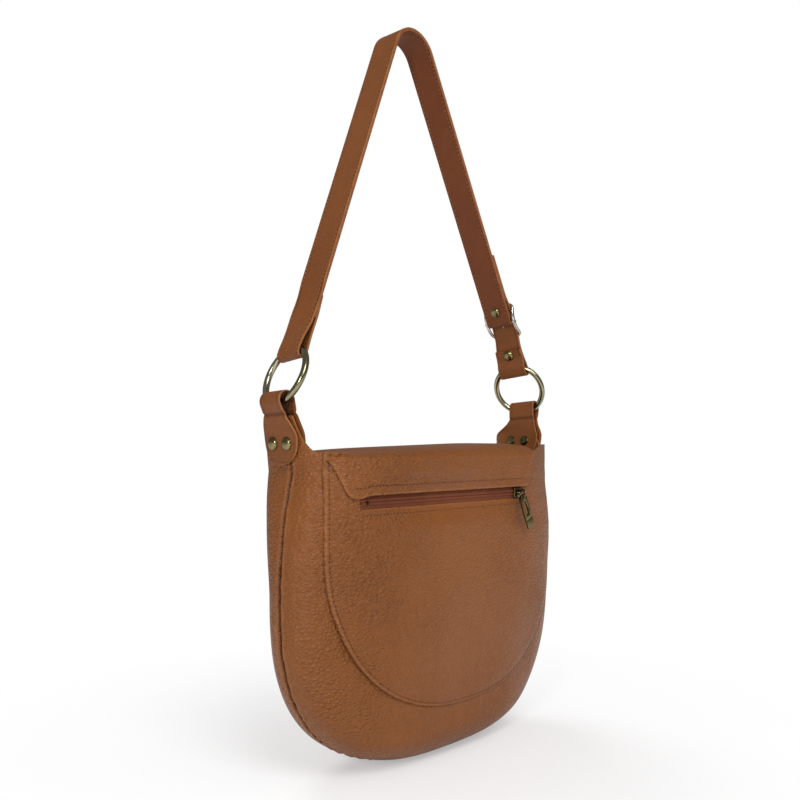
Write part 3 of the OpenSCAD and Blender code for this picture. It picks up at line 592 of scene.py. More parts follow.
def flap_point(j, p, lift):
    """Place of a flap point and its distance from the flap's edge."""
    if j < TOP_FROM:
        z = YOKE_ZS[j]
        left, right = yoke_ends(z)
        x = (left + right) / 2 + p * (right - left) / 2
        edge = min(x - left, right - x, z - YOKE_LOW)
        y = -(yoke_face(x, z) - FLAP_T + lift - 0.4 * (lift < 1))
        return x, y, z - yoke_sag(x, z - YOKE_LOW), edge
    if j < FRONT_FROM:
        u = TOP_US[j - TOP_FROM]
        _, z = flap_top_point(FLAP_X, 0, u, lift)
        near_left, near_right = yoke_ends(min(z, 226))
        left = -136.5 + 23.5 * u ** 0.8
        left = max(near_left, left) if u < 0.5 else left
        right = near_right + (FLAP_W + FLAP_X - near_right) * ease(u)
        x = (left + right) / 2 + p * (right - left) / 2
        y, z = flap_top_point(x, p, u, lift)
        return x, y, z, min(x - left, right - x)
    if j < TIP_FROM:
        x, z = FLAP_X + FLAP_W * p, FRONT_ZS[j - FRONT_FROM]
        edge = FLAP_W - abs(x - FLAP_X)
    else:
        x, z = u_point(p, TIP_QS[j - TIP_FROM], top=0, **FLAP)
        edge = u_edge(x, z, **FLAP)
        x += FLAP_X
    return x, flap_front(x, z, lift), z, edge


def flap_place(i, j):
    x, y, z, edge = flap_point(j, FLAP_PS[i], FLAP_T)
    roll = 1.1 * (1 - quarter_round(edge, 1.1))
    from_row = z + yoke_sag(x, YOKE_STITCH) - YOKE_LOW - YOKE_STITCH if j < TOP_FROM else edge - FLAP_STITCH
    row = ridge(from_row, 0, 0.4)
    sink = roll + 0.3 * row
    if TOP_FROM <= j < FRONT_FROM:
        z -= sink
    else:
        y -= math.copysign(sink, y)
    # The rolled edge is rubbed pale, and painted shade darkens the stitch groove.
    return x, y, z, 0.8 * ridge(edge, 0.7, 0.7) - 0.3 * row


flap_leather = lofted("flap_leather", len(FLAP_PS) - 1, FLAP_ROWS - 1, flap_place)
finish_with(flap_leather, "SOLIDIFY", thickness=2.0 * MM, offset=-1)
finish_with(flap_leather, "BEVEL", width=0.35 * MM, segments=2, limit_method="ANGLE", angle_limit=math.radians(65))
smooth(flap_leather, 60)
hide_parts("flap_yoke", "flap")
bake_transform(flap_leather)
print(flap_leather.name, len(flap_leather.data.polygons), "faces")

# %% [markdown]
# The flap is lined with the same cloth as the bag, cut a little smaller so that it stays out of sight. It follows the
# flap's own rows from just past the fold, and moves with the flap alone.

# %% Lining under the flap
LINING_SKIP = TOP_FROM + 3
LINING_SHARE = 0.965


def flap_lining_place(i, j):
    p = FLAP_PS[i] * LINING_SHARE
    j += LINING_SKIP
    if j < TIP_FROM:
        return *flap_point(j, p, LINING_LIFT)[:3], 0
    x, z = u_point(p, TIP_QS[j - TIP_FROM] * LINING_SHARE, top=0, **FLAP)
    x += FLAP_X
    return x, flap_front(x, z, LINING_LIFT), z, 0


flap_cloth = lofted("flap_lining_cloth", len(FLAP_PS) - 1, FLAP_ROWS - 1 - LINING_SKIP, flap_lining_place)
finish_with(flap_cloth, "SOLIDIFY", thickness=0.5 * MM, offset=-1)
smooth(flap_cloth)
handed_in(flap_cloth, "flap_body", "lining_cloth", "flap_lining")

# %% [markdown]
# Straps, loops and wires are swept: a cross-section is carried along a path. The grid is used once more, its columns
# round the section and its rows along the path, then its first and last columns are merged and the ends are filled.

# %% Sweep a section along a path
def swept(name, path, section, closed=False):
    """The path holds (place, out, across) in mm, and the section holds (across, out, wear)."""
    columns, rows = len(section), len(path) - (0 if closed else 1)

    def place(i, j):
        point, out, across = path[j % len(path)]
        a, b, wear_and_shade_value = section[i % columns]
        p = point + across * a + out * b
        return p.x, p.y, p.z, wear_and_shade_value

    piece = lofted(name, columns, rows, place)
    close_and_turn(piece, fill=not closed)
    return piece


def rounded(points):
    """Cuts the corners of an open path twice."""
    for _ in range(2):
        cut = [points[0]]
        for a, b in zip(points, points[1:]):
            step = (b - a).normalized() * min(0.25 * (b - a).length, 3.0)
            cut += [a + step, b - step]
        cut.append(points[-1])
        points = cut
    return points


def stepped(points, step=6.0):
    """Adds places on long straights so that no step is longer than asked."""
    full = [points[0]]
    for a, b in zip(points, points[1:]):
        length = (b - a).length
        if length < 0.02:
            continue
        count = max(1, math.ceil(length / step))
        full += [a + (b - a) * (k + 1) / count for k in range(count)]
    return full


def framed(points, across):
    """Gives each place of a path its outward direction, square to the path and to the width."""
    path = []
    for k, point in enumerate(points):
        ahead = points[min(k + 1, len(points) - 1)] - points[max(k - 1, 0)]
        path.append((point, across.cross(ahead).normalized(), across))
    return path


# %% [markdown]
# The strap is an arch of two layers that meet over the crown, and its two legs lean in at the same angle. Everything
# on it is therefore given beside one straight line on each side, as x outward from the line and w up along it. The
# rings and the loops round them are turned a little about that line, because a worn strap never hangs quite square.

# %% The strap's own frame
LEFT, RIGHT = -1, 1
TWIST = {LEFT: math.radians(-7), RIGHT: math.radians(12)}
TILT = math.radians(23.8)
RING_X, RING_Z = 139, 279
TO_STRAP = Matrix.Translation((0, CARRY_Y, RING_Z)) @ Matrix.Rotation(math.radians(-3.2), 4, "X")
ACROSS = (TO_STRAP.to_3x3() @ Vector((0, -1, 0))).normalized()


def on_side(side, x, w):
    """A place beside the strap's line: x outward from it and w up along it, from the ring's middle."""
    out = x * math.cos(TILT) - w * math.sin(TILT)
    return TO_STRAP @ Vector((side * (RING_X + out), 0, x * math.sin(TILT) + w * math.cos(TILT)))


def along_side(side):
    return (on_side(side, 0, 1) - on_side(side, 0, 0)).normalized()


def turns(start, end, steps):
    """Angles from start to end, given in degrees."""
    return [math.radians(start + (end - start) * k / steps) for k in range(steps + 1)]


def half_turn(side, x, w, radius, steps):
    """The lower half of a circle, from its inner side round below to its outer side."""
    return [on_side(side, x + radius * math.cos(t), w + radius * math.sin(t)) for t in turns(180, 360, steps)]


def twisted(side, point):
    """Turns what hangs at a ring about the strap's line, as the photo shows it, and fades out above and below."""
    middle, along = on_side(side, 0, 0), along_side(side)
    w = (point - middle).dot(along)
    share = 1 - ease((w - 24) / 22) if w > 0 else 1 - ease((-w - 24) / 10)
    return middle + Matrix.Rotation(TWIST[side] * share, 3, along) @ (point - middle)


def twist_piece(piece, side):
    for vertex in piece.data.vertices:
        vertex.co = twisted(side, vertex.co / MM) * MM


CROWN_R = 22.5
OUTER_T, INNER_T = 1.6, 1.3
CROWN_Z = RING_X / math.tan(TILT) - CROWN_R / math.sin(TILT)


def crown():
    """The arch at the top, from the left leg over to the right leg."""
    steps, start, end = 36, math.pi - TILT, TILT
    angles = [start + (end - start) * k / steps for k in range(steps + 1)]
    return [TO_STRAP @ Vector((CROWN_R * math.cos(t), 0, CROWN_Z + CROWN_R * math.sin(t))) for t in angles]


print("crown's inner face at", round((TO_STRAP @ Vector((0, 0, CROWN_Z + CROWN_R))).z, 1), "mm")

# %% [markdown]
# A strap's edges are rounded and its stitches lie in a shallow line along each edge. Both are drawn once, in the
# section, and every strap is swept with it. The rounded edges are rubbed pale and the stitch lines are painted dark
# as shade.

# %% A strap's section
STRAP_HALF, STRAP_STITCH = 12.5, 10.3


def strap_section(low, high):
    """Rounded edges, and a sunk line for each row of stitches, between two depths."""
    corner, depth = 0.55, 0.22

    def line(sign, b):
        points = []
        stops = [STRAP_HALF - corner, 11.4, 10.8, STRAP_STITCH, 9.8, 9.2, 6, 2.5]
        for a in stops + [-s for s in reversed(stops)]:
            sunk = ridge(abs(a), STRAP_STITCH, 0.4)
            # Painted shade: the sunk stitch line is coloured darker.
            points.append((sign * a, b - sign * depth * sunk, -0.8 * sunk))
        return points

    def turn(a, b, start):
        return [(a + corner * math.cos(t), b + corner * math.sin(t), 0.85) for t in turns(start, start + 90, 4)[1:4]]

    a, top, foot = STRAP_HALF - corner, high - corner, low + corner
    over = turn(a, top, 0) + line(1, high) + turn(-a, top, 90)
    under = turn(-a, foot, 180) + line(-1, low) + turn(a, foot, 270)
    return over + [(-STRAP_HALF, foot, 0.5)] + under + [(STRAP_HALF, top, 0.5)]


def skived(frames):
    """Thins the first 14 mm of a strip, as the end of a returned strap is pared."""
    start, run, least = frames[0][0], 14, 0.3
    return [(point, out * (least + (1 - least) * clamp((point - start).length / run)), across)
            for point, out, across in frames]


# %% [markdown]
# The outer layer starts behind the left leg, goes down round the left ring, and runs up over the crown to the buckle.
# Its hidden start is pared thin, as a strap maker does, so that no step shows beside it.

# %% Outer layer of the strap
RING_MID_R, WIRE_R = 21.15, 2.35
RING_HOLE_R, SLACK = RING_MID_R - WIRE_R, 0.3
LOOP_R = WIRE_R + SLACK
LOOP_LOW = math.sqrt(RING_HOLE_R ** 2 - STRAP_HALF ** 2) - SLACK + LOOP_R
LOOP_HIGH = RING_MID_R + SLACK

BACK_X = -INNER_T - 0.1
outer_path = [on_side(LEFT, BACK_X, 62), on_side(LEFT, BACK_X, 40), on_side(LEFT, -LOOP_R, LOOP_HIGH)]
outer_path += half_turn(LEFT, 0, LOOP_LOW, LOOP_R, 16)
outer_path += [on_side(LEFT, LOOP_R, LOOP_HIGH), on_side(LEFT, 0, 40)]
outer_path += crown() + [on_side(RIGHT, 0, 81)]
outer_line = stepped(rounded(outer_path))
outer_frames = framed(outer_line, ACROSS)
strap_outer = swept("strap_outer_leather", skived(outer_frames), strap_section(0, OUTER_T))
twist_piece(strap_outer, LEFT)
smooth(strap_outer, 60)
handed_in(strap_outer, "strap", "strap_leather", "strap_outer_layer")

# %% [markdown]
# The inner layer lies under the outer one. At the right it turns round the buckle's bar and is riveted back.

# %% Inner layer of the strap
BAR_W, BAR_X, WRAP_R = 62, 1.65, 1.65
inner_path = [on_side(LEFT, 0, 44)] + crown()
inner_path += half_turn(RIGHT, BAR_X, BAR_W, WRAP_R, 14)
inner_path += [on_side(RIGHT, 0.1, 69), on_side(RIGHT, 0.1, 80)]
inner_line = stepped(rounded(inner_path))
strap_inner = swept("strap_inner_leather", framed(inner_line, ACROSS), strap_section(-INNER_T, 0))
smooth(strap_inner, 60)
handed_in(strap_inner, "strap", "strap_leather", "strap_inner_layer")

# %% [markdown]
# The lower strap goes round the right ring, up through the buckle, and ends in a tail outside. Its prong holes and
# the slot that the prong stands in are cut right through with Boolean modifiers, as a punch would cut them.

# %% Lower strap
lower_path = [on_side(RIGHT, 1.1, 37), on_side(RIGHT, 1.1, 27.3), on_side(RIGHT, -LOOP_R, LOOP_HIGH)]
lower_path += half_turn(RIGHT, 0, LOOP_LOW, LOOP_R, 16)
lower_path += [on_side(RIGHT, x, w) for x, w in (
    (LOOP_R, LOOP_HIGH), (1.2, 27.3), (1.2, 37), (3.65, 46.6), (3.65, 49.4), (4.8, 60.3), (4.8, 63.7),
    (3.65, 74.6), (3.65, 77.4), (2.0, 84), (2.0, 122))]
lower_line = stepped(rounded(lower_path))
lower_frames = [(p, -out, across) for p, out, across in framed(lower_line, ACROSS)]
LOWER_T = 2.0
strap_lower = swept("lower_strap_leather", lower_frames, strap_section(0, LOWER_T))
twist_piece(strap_lower, RIGHT)
OUTWARD = (on_side(RIGHT, 1, 0) - on_side(RIGHT, 0, 0)).normalized()
HOLE_D = 3.4


def cut_out(piece, cutter):
    finish_with(piece, "BOOLEAN", object=cutter, operation="DIFFERENCE", solver="EXACT")
    bpy.data.objects.remove(cutter)


def punch(piece, x, w, long=0):
    """Cuts a round hole through the strap, and with a length a straight part of a slot."""
    take_only()
    if long:
        bpy.ops.mesh.primitive_cube_add(size=1)
    else:
        bpy.ops.mesh.primitive_cylinder_add(vertices=24, radius=0.5, depth=1)
    cutter = bpy.context.object
    place = Matrix((ACROSS, along_side(RIGHT), OUTWARD)).transposed().to_4x4()
    place.translation = on_side(RIGHT, x, w)
    cutter.data.transform(Matrix.Scale(MM, 4) @ place @ Matrix.Diagonal((HOLE_D, long or HOLE_D, 8, 1)))
    cut_out(piece, cutter)


TAIL_X, SLOT_X, SLOT_LOW, SLOT_HIGH = 3, 5.5, 54.2, 62
for w in (89, 101, 113):
    punch(strap_lower, TAIL_X, w)
punch(strap_lower, SLOT_X, (SLOT_LOW + SLOT_HIGH) / 2, SLOT_HIGH - SLOT_LOW)
for w in (SLOT_LOW, SLOT_HIGH):
    punch(strap_lower, SLOT_X, w)
smooth(strap_lower, 60)
handed_in(strap_lower, "strap", "strap_leather", "lower_strap")

# %% [markdown]
# A tab is a strip folded over its ring and riveted through the ear. It is narrow at the fold and widens like a bell
# to a round end. It follows the curve of the ear where it is riveted, and a crease under the ring pinches its legs.

# %% Tabs
RING_OUT_R = RING_MID_R + WIRE_R
TUNNEL_LOW = math.sqrt(RING_HOLE_R ** 2 - 12 ** 2)
TUNNEL_MID = (RING_OUT_R + TUNNEL_LOW) / 2
TUNNEL_R = (RING_OUT_R - TUNNEL_LOW) / 2 + SLACK
TUNNEL_X = RING_X + TUNNEL_MID * math.sin(TILT)
TUNNEL_Z = RING_Z - TUNNEL_MID * math.cos(TILT)
TAB_END_R = {LEFT: 17.3, RIGHT: 20.5}
TAB_END_Z, LOOP_HALF = 235.5, 11.6
TAB_IN, TAB_OUT, TAB_COLUMNS, TAB_STITCH, CREASE_Z = -4.05, 0.3, 28, 2.4, 253


def touch(x, z, sign):
    """Angle at which a line from a place meets the round tunnel of the ring."""
    dx, dz = x - TUNNEL_X, z - TUNNEL_Z
    return math.atan2(dz, dx) + sign * math.acos(TUNNEL_R / math.hypot(dx, dz))


def tab_line(low):
    """The tab's inner face seen from the front, from the inner leg over the ring to the outer leg."""
    def on_leg(shift, z):
        return Vector((ear_x(z) + shift, 0, z))

    inner, outer = on_leg(TAB_IN, 248.3), on_leg(TAB_OUT, 240)
    first = touch(ear_x(248.3) + TAB_IN, 248.3, -1) + 2 * math.pi
    last = touch(ear_x(240) + TAB_OUT, 240, 1)
    angles = [first + (last - first) * k / 24 for k in range(25)]
    points = [on_leg(TAB_IN, low), inner]
    points += [Vector((TUNNEL_X + TUNNEL_R * math.cos(t), 0, TUNNEL_Z + TUNNEL_R * math.sin(t))) for t in angles]
    points += [outer, on_leg(TAB_OUT, low)]
    return stepped(rounded(points), 1.1)


def tab_half(z, end_r):
    if z < TAB_END_Z:
        return math.sqrt(max(2.5 ** 2, end_r ** 2 - (TAB_END_Z - z) ** 2))
    return end_r - (end_r - LOOP_HALF) * ease((z - TAB_END_Z - 2) / 17)


def wall_bend(y, z):
    """How far the ear's wall draws in at y, against its place in line with the ring."""
    def wall(at):
        power = HIGH_POWER[BACK if at < 0 else FRONT]
        return (1 - min(1, abs(at) / HALF_D) ** power) ** (1 / power)
    return (ear_x(z) * (wall(y) - wall(CARRY_Y))) * ease((256 - z) / 16)


def leather_tab(name, side, node):
    end_r = TAB_END_R[side]
    low_end = TAB_END_Z - end_r + 0.1
    line = framed(tab_line(low_end), Vector((0, -1, 0)))
    if line[len(line) // 2][1].z < 0:
        line = [(p, -out, across) for p, out, across in line]

    def place(i, j):
        point, out, _ = line[j]
        half = tab_half(point.z, end_r)
        share = math.sin(math.pi / 2 * (2 * i / TAB_COLUMNS - 1)) * side
        y = CARRY_Y - share * half
        low = max(0, point.z - low_end) if point.z < 232 else 20
        edge = min(half * (1 - abs(share)), low + 0.3)
        row = ridge(edge, TAB_STITCH, 0.4)
        crease = 0.9 * ridge(point.z, CREASE_Z, 1.1)
        lift = 2.0 - 0.9 * (1 - quarter_round(edge, 0.9)) - 0.25 * row - crease
        # The edge is rubbed pale, and painted shade darkens the crease under the ring and the stitch groove.
        wear_and_shade_value = 0.8 * ridge(edge, 0.3, 0.5) - 0.9 * crease - 0.5 * row
        p = point + out * lift
        return side * (p.x + wall_bend(y, p.z)), y, p.z, wear_and_shade_value

    tab = lofted(name, TAB_COLUMNS, len(line) - 1, place)
    twist_piece(tab, side)
    finish_with(tab, "SOLIDIFY", thickness=1.9 * MM, offset=-1)
    close_and_turn(tab)
    smooth(tab, 60)
    return handed_in(tab, "bag", "body_leather", node)


left_tab_leather = leather_tab("left_tab_leather", LEFT, "left_tab")
right_tab_leather = leather_tab("right_tab_leather", RIGHT, "right_tab")

# %% [markdown]
# The rings are welded wire. A torus is what they are, so it is added at their size and turned into the strap's frame.

# %% Rings
def wire_ring(name, radius, wire, around, sides):
    take_only()
    bpy.ops.mesh.primitive_torus_add(
        major_segments=around, minor_segments=sides, major_radius=radius * MM, minor_radius=wire * MM)
    ring = bpy.context.object
    ring.name = name
    return ring


def ring_piece(name, side, node, body):
    ring = wire_ring(name, RING_MID_R, WIRE_R, 112, 28)
    add_wear_and_shade(ring)
    square = Matrix.Rotation(math.radians(90) - side * TILT, 4, "Y")
    put(ring, TO_STRAP @ Matrix.Translation((side * RING_X, 0, 0)) @ square)
    twist_piece(ring, side)
    smooth(ring, 180)
    return handed_in(ring, body, "hardware", node)


left_ring = ring_piece("left_ring_wire", LEFT, "left_ring", "left_ring_body")
right_ring = ring_piece("right_ring_wire", RIGHT, "right_ring", "right_ring_body")

# %% [markdown]
# Every seam shows its thread. One stitch is modelled as a short plump bead of few faces, and its mesh is laid again
# and again along each row, a real pitch apart and half sunk in the leather.

# %% One stitch
take_only()
bpy.ops.mesh.primitive_uv_sphere_add(segments=6, ring_count=5, radius=1)
stitch = bpy.context.object
stitch_points = [v.co.copy() for v in stitch.data.vertices]
stitch_faces = [tuple(f.vertices) for f in stitch.data.polygons]
bpy.data.objects.remove(stitch)
print("a stitch has", len(stitch_faces), "faces")


def repeated(name, points):
    """Makes one piece of stitch after stitch, from the places of all their points."""
    size = len(stitch_points)
    faces = [tuple(first + k for k in face) for first in range(0, len(points), size) for face in stitch_faces]
    mesh = bpy.data.meshes.new(name)
    mesh.from_pydata(points, [], faces)
    piece = bpy.data.objects.new(name, mesh)
    bpy.context.scene.collection.objects.link(piece)
    close_and_turn(piece)
    smooth(piece, 180)
    print(name, len(points) // size, "times")
    return piece


def sewn(name, line, body, pitch=3.2, long=2.3):
    """Lays stitches along a line of (place, outward normal) in mm."""
    points, thick = [], 0.36
    due = pitch / 2
    for (a, na), (b, nb) in zip(line, line[1:]):
        step = (b - a).length
        if step < 1e-6:
            continue
        along = (b - a) / step
        while due <= step:
            share = due / step
            middle = a.lerp(b, share)
            up = na.lerp(nb, share).normalized()
            side = along.cross(up).normalized()
            due += pitch
            for c in stitch_points:
                points.append((middle + along * (c.z * long / 2) + side * (c.x * thick) + up * (c.y * thick)) * MM)
        due -= step
    row = repeated(name, points)
    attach(row, body)
    return row


# %% [markdown]
# Four rows hold the leather together: round the pocket, under the zip, along the yoke and round the flap. A row
# follows the same formulas as its leather, so each stitch lies on the surface and points straight out of it.

# %% Rows on the bag and its flap
def on_face(face, x, z, sunk, side=BACK):
    """A place just under a face, and the face's outward direction, from its slope there."""
    step = 0.5
    slope_x = (face(x + step, z) - face(x - step, z)) / (2 * step)
    slope_z = (face(x, z + step) - face(x, z - step)) / (2 * step)
    out = Vector((-slope_x, -1, -slope_z)).normalized()
    place = Vector((x, -face(x, z), z)) - out * sunk
    if side == FRONT:
        place.y, out.y = -place.y, -out.y
    return place, out


def u_row(face, side, inset, half, depth, shoulder, top, power, x_mid=0):
    """A row of stitches inside a U's edge, from its left top round the foot to its right top."""
    legs, bow, width = 12, 240, half - inset
    run = [(-width, top + (shoulder - top) * k / legs) for k in range(legs)]
    for k in range(bow + 1):
        angle = math.pi + math.pi * k / bow
        out = reach(angle, power)
        run.append((width * math.cos(angle) * out, shoulder + (depth - inset) * math.sin(angle) * out))
    run += [(width, shoulder + (top - shoulder) * k / legs) for k in range(1, legs + 1)]
    return [on_face(face, x + x_mid, z, 0.2, side) for x, z in run]


def flap_outer(x, z):
    return flap_front(x, z, FLAP_T)


def yoke_row_z(x):
    return YOKE_LOW + YOKE_STITCH - yoke_sag(x, YOKE_STITCH)


pocket_line = u_row(panel_face, BACK, POCKET_STITCH, top=PANEL_TOP, **PANEL)
zip_line = [on_face(panel_face, x, WINDOW_Z0 - ZIP_STITCH, 0.15) for x in range(WINDOW_X0 - 2, WINDOW_X1 + 4, 4)]
yoke_line = [on_face(yoke_face, x, yoke_row_z(x), 0.15) for x in range(-119, 66, 3)]
flap_line = u_row(flap_outer, FRONT, FLAP_STITCH, top=FLAP_TOP, x_mid=FLAP_X, **FLAP)
pocket_row = sewn("pocket_stitches", pocket_line, "bag")
zip_row = sewn("zip_stitches", zip_line, "bag")
yoke_row = sewn("yoke_stitches", yoke_line, "bag")
flap_row = sewn("flap_stitches", flap_line, "flap_body")


# %% [markdown]
# The strap is stitched along both edges, and the thread shows on its outer face and on its inner one. The rows of the
# parts that hang at the rings are turned with them.

# %% Rows along the strap's edges
def strap_rows(name, line, offset, ends=4):
    rows = []
    for side, word in ((LEFT, "left"), (RIGHT, "right")):
        row = [(p + across * side * STRAP_STITCH + out * offset, out if offset > 0 else -out)
               for p, out, across in line[ends:len(line) - ends]]
        rows.append(sewn(f"{name}_{word}", row, "strap", pitch=3.4, long=2.4))
    return rows


STITCH_SUNK = 0.12
outer_rows = strap_rows("strap_outer_stitches", framed(outer_line, ACROSS), OUTER_T - STITCH_SUNK)
inner_rows = strap_rows("strap_inner_stitches", framed(inner_line, ACROSS), STITCH_SUNK - INNER_T, 2)
lower_rows = strap_rows("lower_strap_stitches", lower_frames, LOWER_T - 0.16)
for row in outer_rows:
    twist_piece(row, LEFT)
for row in lower_rows:
    twist_piece(row, RIGHT)

# %% [markdown]
# Rivets, the magnetic snap and the bead of the slider are turned work. Each starts as a disc and is drawn up by
# extruding its top and scaling it, step by step, along its profile. The "wear_and_shade" number darkens the rim of
# each.

# %% Turned pieces
def turned(name, profile, sides=32):
    """The profile holds (radius, height) in mm, from the rim at the foot to the top."""
    take_only()
    bpy.ops.mesh.primitive_circle_add(vertices=sides, radius=profile[0][0] * MM, fill_type="NGON")
    piece = bpy.context.object
    piece.name = name
    bpy.ops.object.mode_set(mode="EDIT")
    bpy.ops.mesh.select_all(action="SELECT")
    for (r0, z0), (r1, z1) in zip(profile, profile[1:]):
        bpy.ops.mesh.extrude_region_move(TRANSFORM_OT_translate={"value": (0, 0, (z1 - z0) * MM)})
        bpy.ops.transform.resize(value=(r1 / r0, r1 / r0, 1), center_override=(0, 0, 0))
    bpy.ops.object.mode_set(mode="OBJECT")
    if profile[0][1]:
        piece.data.transform(Matrix.Translation((0, 0, profile[0][1] * MM)))
    close_and_turn(piece)
    wear_and_shade = add_wear_and_shade(piece)
    rim = max(r for r, _ in profile) * 0.86
    for index, vertex in enumerate(piece.data.vertices):
        wear_and_shade[index].value = -clamp((vertex.co.xy.length / MM - rim) / 0.4)
    smooth(piece, 40)
    return piece


def set_at(source, name, matrices, body, node):
    """Copies a piece, each copy with its own mesh, to each place, and joins the copies into one piece."""
    copies = []
    for matrix in matrices:
        copy = source.copy()
        copy.data = source.data.copy()
        bpy.context.scene.collection.objects.link(copy)
        put(copy, matrix)
        copies.append(copy)
    piece = merged(name, copies)
    bpy.data.objects.remove(source)
    return handed_in(piece, body, "hardware", node)


HEAD = [(4.7, -0.1), (4.75, 0.25), (4.6, 0.5), (4.3, 0.62), (4.05, 0.6), (3.9, 0.8), (3.6, 1.15), (3.0, 1.5),
        (2.2, 1.78), (1.2, 1.95), (0.4, 2.0)]
CAP = [(4.2, -0.05), (4.2, 0.3), (4.0, 0.5), (3.4, 0.62), (3.1, 0.72), (2.4, 0.86), (1.4, 0.92), (0.4, 0.93)]


RIVET_Z, RIVET_OFF = 233, 7
FLIP = Matrix.Rotation(math.pi, 4, "X")


def on_ear(side, offset, out):
    turn = Matrix.Rotation(side * math.radians(97), 4, "Y")
    place = Matrix.Translation((side * ear_x(RIVET_Z), CARRY_Y + offset, RIVET_Z))
    return place @ turn @ Matrix.Translation((0, 0, out))


pairs = [(side, offset) for side in (LEFT, RIGHT) for offset in (-RIVET_OFF, RIVET_OFF)]
heads = [on_ear(side, offset, 2.3) for side, offset in pairs]
tab_heads = set_at(turned("head", HEAD), "tab_rivet_heads", heads, "bag", "tab_rivets")
caps = [on_ear(side, offset, -6.0) @ FLIP for side, offset in pairs]
tab_caps = set_at(turned("cap", CAP), "tab_rivet_caps", caps, "bag", "tab_rivet_backs")


def on_strap(x, w, degrees):
    """A place on the right leg: -90 faces inward and 90 outward."""
    turn = Matrix.Rotation(-TILT, 4, "Y") @ Matrix.Rotation(math.radians(degrees), 4, "Y")
    return Matrix.Translation(on_side(RIGHT, x, w)) @ TO_STRAP.to_3x3().to_4x4() @ turn


HIGH_W, LOW_W = 73, 32.5
heads = [on_strap(-INNER_T, HIGH_W, -90), on_strap(-0.9, LOW_W, -90)]
strap_heads = set_at(turned("strap_head", HEAD), "strap_rivet_heads", heads, "strap", "strap_rivets")
caps = [on_strap(1.6, HIGH_W, 90), on_strap(3.2, LOW_W, 90)]
small_cap = turned("strap_cap", [(r * 0.8, z) for r, z in CAP])
strap_caps = set_at(small_cap, "strap_rivet_caps", caps, "strap", "strap_rivet_backs")
twist_piece(strap_heads, RIGHT)
twist_piece(strap_caps, RIGHT)

SNAP = [(7, -0.1), (7, 0.2), (6.7, 0.42), (5.6, 0.48), (3.4, 0.48), (3.1, 0.3), (0.4, 0.3)]
SNAP_Z = 113.56
on_front = Matrix.Translation((FLAP_X, HALF_D, SNAP_Z)) @ Matrix.Rotation(math.radians(-90), 4, "X")
snap_lower = set_at(turned("snap", SNAP), "snap_socket_disc", [on_front], "bag", "snap_socket")
facing = on_front @ Matrix.Translation((0, 0, 1.5)) @ FLIP
snap_upper = set_at(turned("stud", SNAP), "snap_stud_disc", [facing], "flap_body", "snap_stud")

# %% [markdown]
# The zip is sewn into the window. Its tape is woven and folds over the coil, so that only a fine split shows between
# two ribbed ridges. The slider runs on it in a straight line, which the tape follows.

# %% Zip tapes
ZIP_YAW = math.atan2(ZIP_LEFT_Y - ZIP_RIGHT_Y, WINDOW_W)
ZIP_RUN = math.hypot(WINDOW_W, ZIP_RIGHT_Y - ZIP_LEFT_Y)
ZIP_Z = (WINDOW_Z0 + WINDOW_Z1) / 2
TO_ZIP = Matrix.Translation((WINDOW_X0, -ZIP_LEFT_Y, ZIP_Z)) @ Matrix.Rotation(ZIP_YAW, 4, "Z")
COIL_STEP, TAPE_STEPS = 1.5, 236
TAPE = [(6.4, 0.75), (5.0, 0.6), (4.3, 0.1), (3.6, -0.15), (2.9, -0.2), (2.3, -0.25), (2.0, -0.55), (1.75, -0.85),
        (1.3, -0.98), (0.9, -0.98), (0.5, -0.85), (0.3, -0.55), (0.22, -0.1)]


def tape_place(sign):
    def place(i, j):
        along = -3 + (ZIP_RUN + 6) * i / TAPE_STEPS
        z, y = TAPE[j if sign > 0 else len(TAPE) - 1 - j]
        rib = 0.1 * math.cos(2 * math.pi * along / COIL_STEP) if 0.4 < z < 1.5 and y < -0.5 else 0
        p = TO_ZIP @ Vector((along, y + rib, sign * z))
        # Painted shade: the split by the coil and the groove beside each ridge are coloured darker.
        return p.x, p.y, p.z, -0.6 if z < 0.45 or 2 < z < 2.6 else 0
    return place


tapes = []
for sign, name in ((1, "upper_zip_tape"), (-1, "lower_zip_tape")):
    tape = lofted(name, TAPE_STEPS, len(TAPE) - 1, tape_place(sign))
    finish_with(tape, "SOLIDIFY", thickness=0.3 * MM, offset=-1)
    close_and_turn(tape)
    smooth(tape, 60)
    tapes.append(handed_in(tape, "bag", "zip_tape"))
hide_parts("zip_tapes")

# %% The coil between the tapes
coil_points = [
    (TO_ZIP @ Vector((4 + COIL_STEP * k + c.x * 0.5, -0.35 + c.y * 0.5, c.z * 1.6))) * MM
    for k in range(112) for c in stitch_points]
zip_coil = handed_in(repeated("zip_coil", coil_points), "bag", "zip_tape", "zip_teeth")

# %% [markdown]
# The slider is cast: two plates with cheeks between them, a bridge over the top, and a bead where the bridge is
# fixed. Boxes with rounded edges, one swept wire and one turned bead are joined, so the edges catch light as cast
# ones do. One box shaped in edit mode would do as well, but here each part stays easy to change.

# %% A box with soft edges
def soft_box(size, place, matrix, bevel=0.3, segments=3):
    take_only()
    bpy.ops.mesh.primitive_cube_add(size=1)
    box = bpy.context.object
    box.data.transform(Matrix.Translation(Vector(place) * MM) @ Matrix.Diagonal((*(Vector(size) * MM), 1)))
    finish_with(box, "BEVEL", width=bevel * MM, segments=segments, limit_method="NONE")
    put(box, matrix)
    add_wear_and_shade(box)
    return box


def round_section(radius, sides=12):
    return [(radius * math.cos(2 * math.pi * k / sides), radius * math.sin(2 * math.pi * k / sides), 0)
            for k in range(sides)]


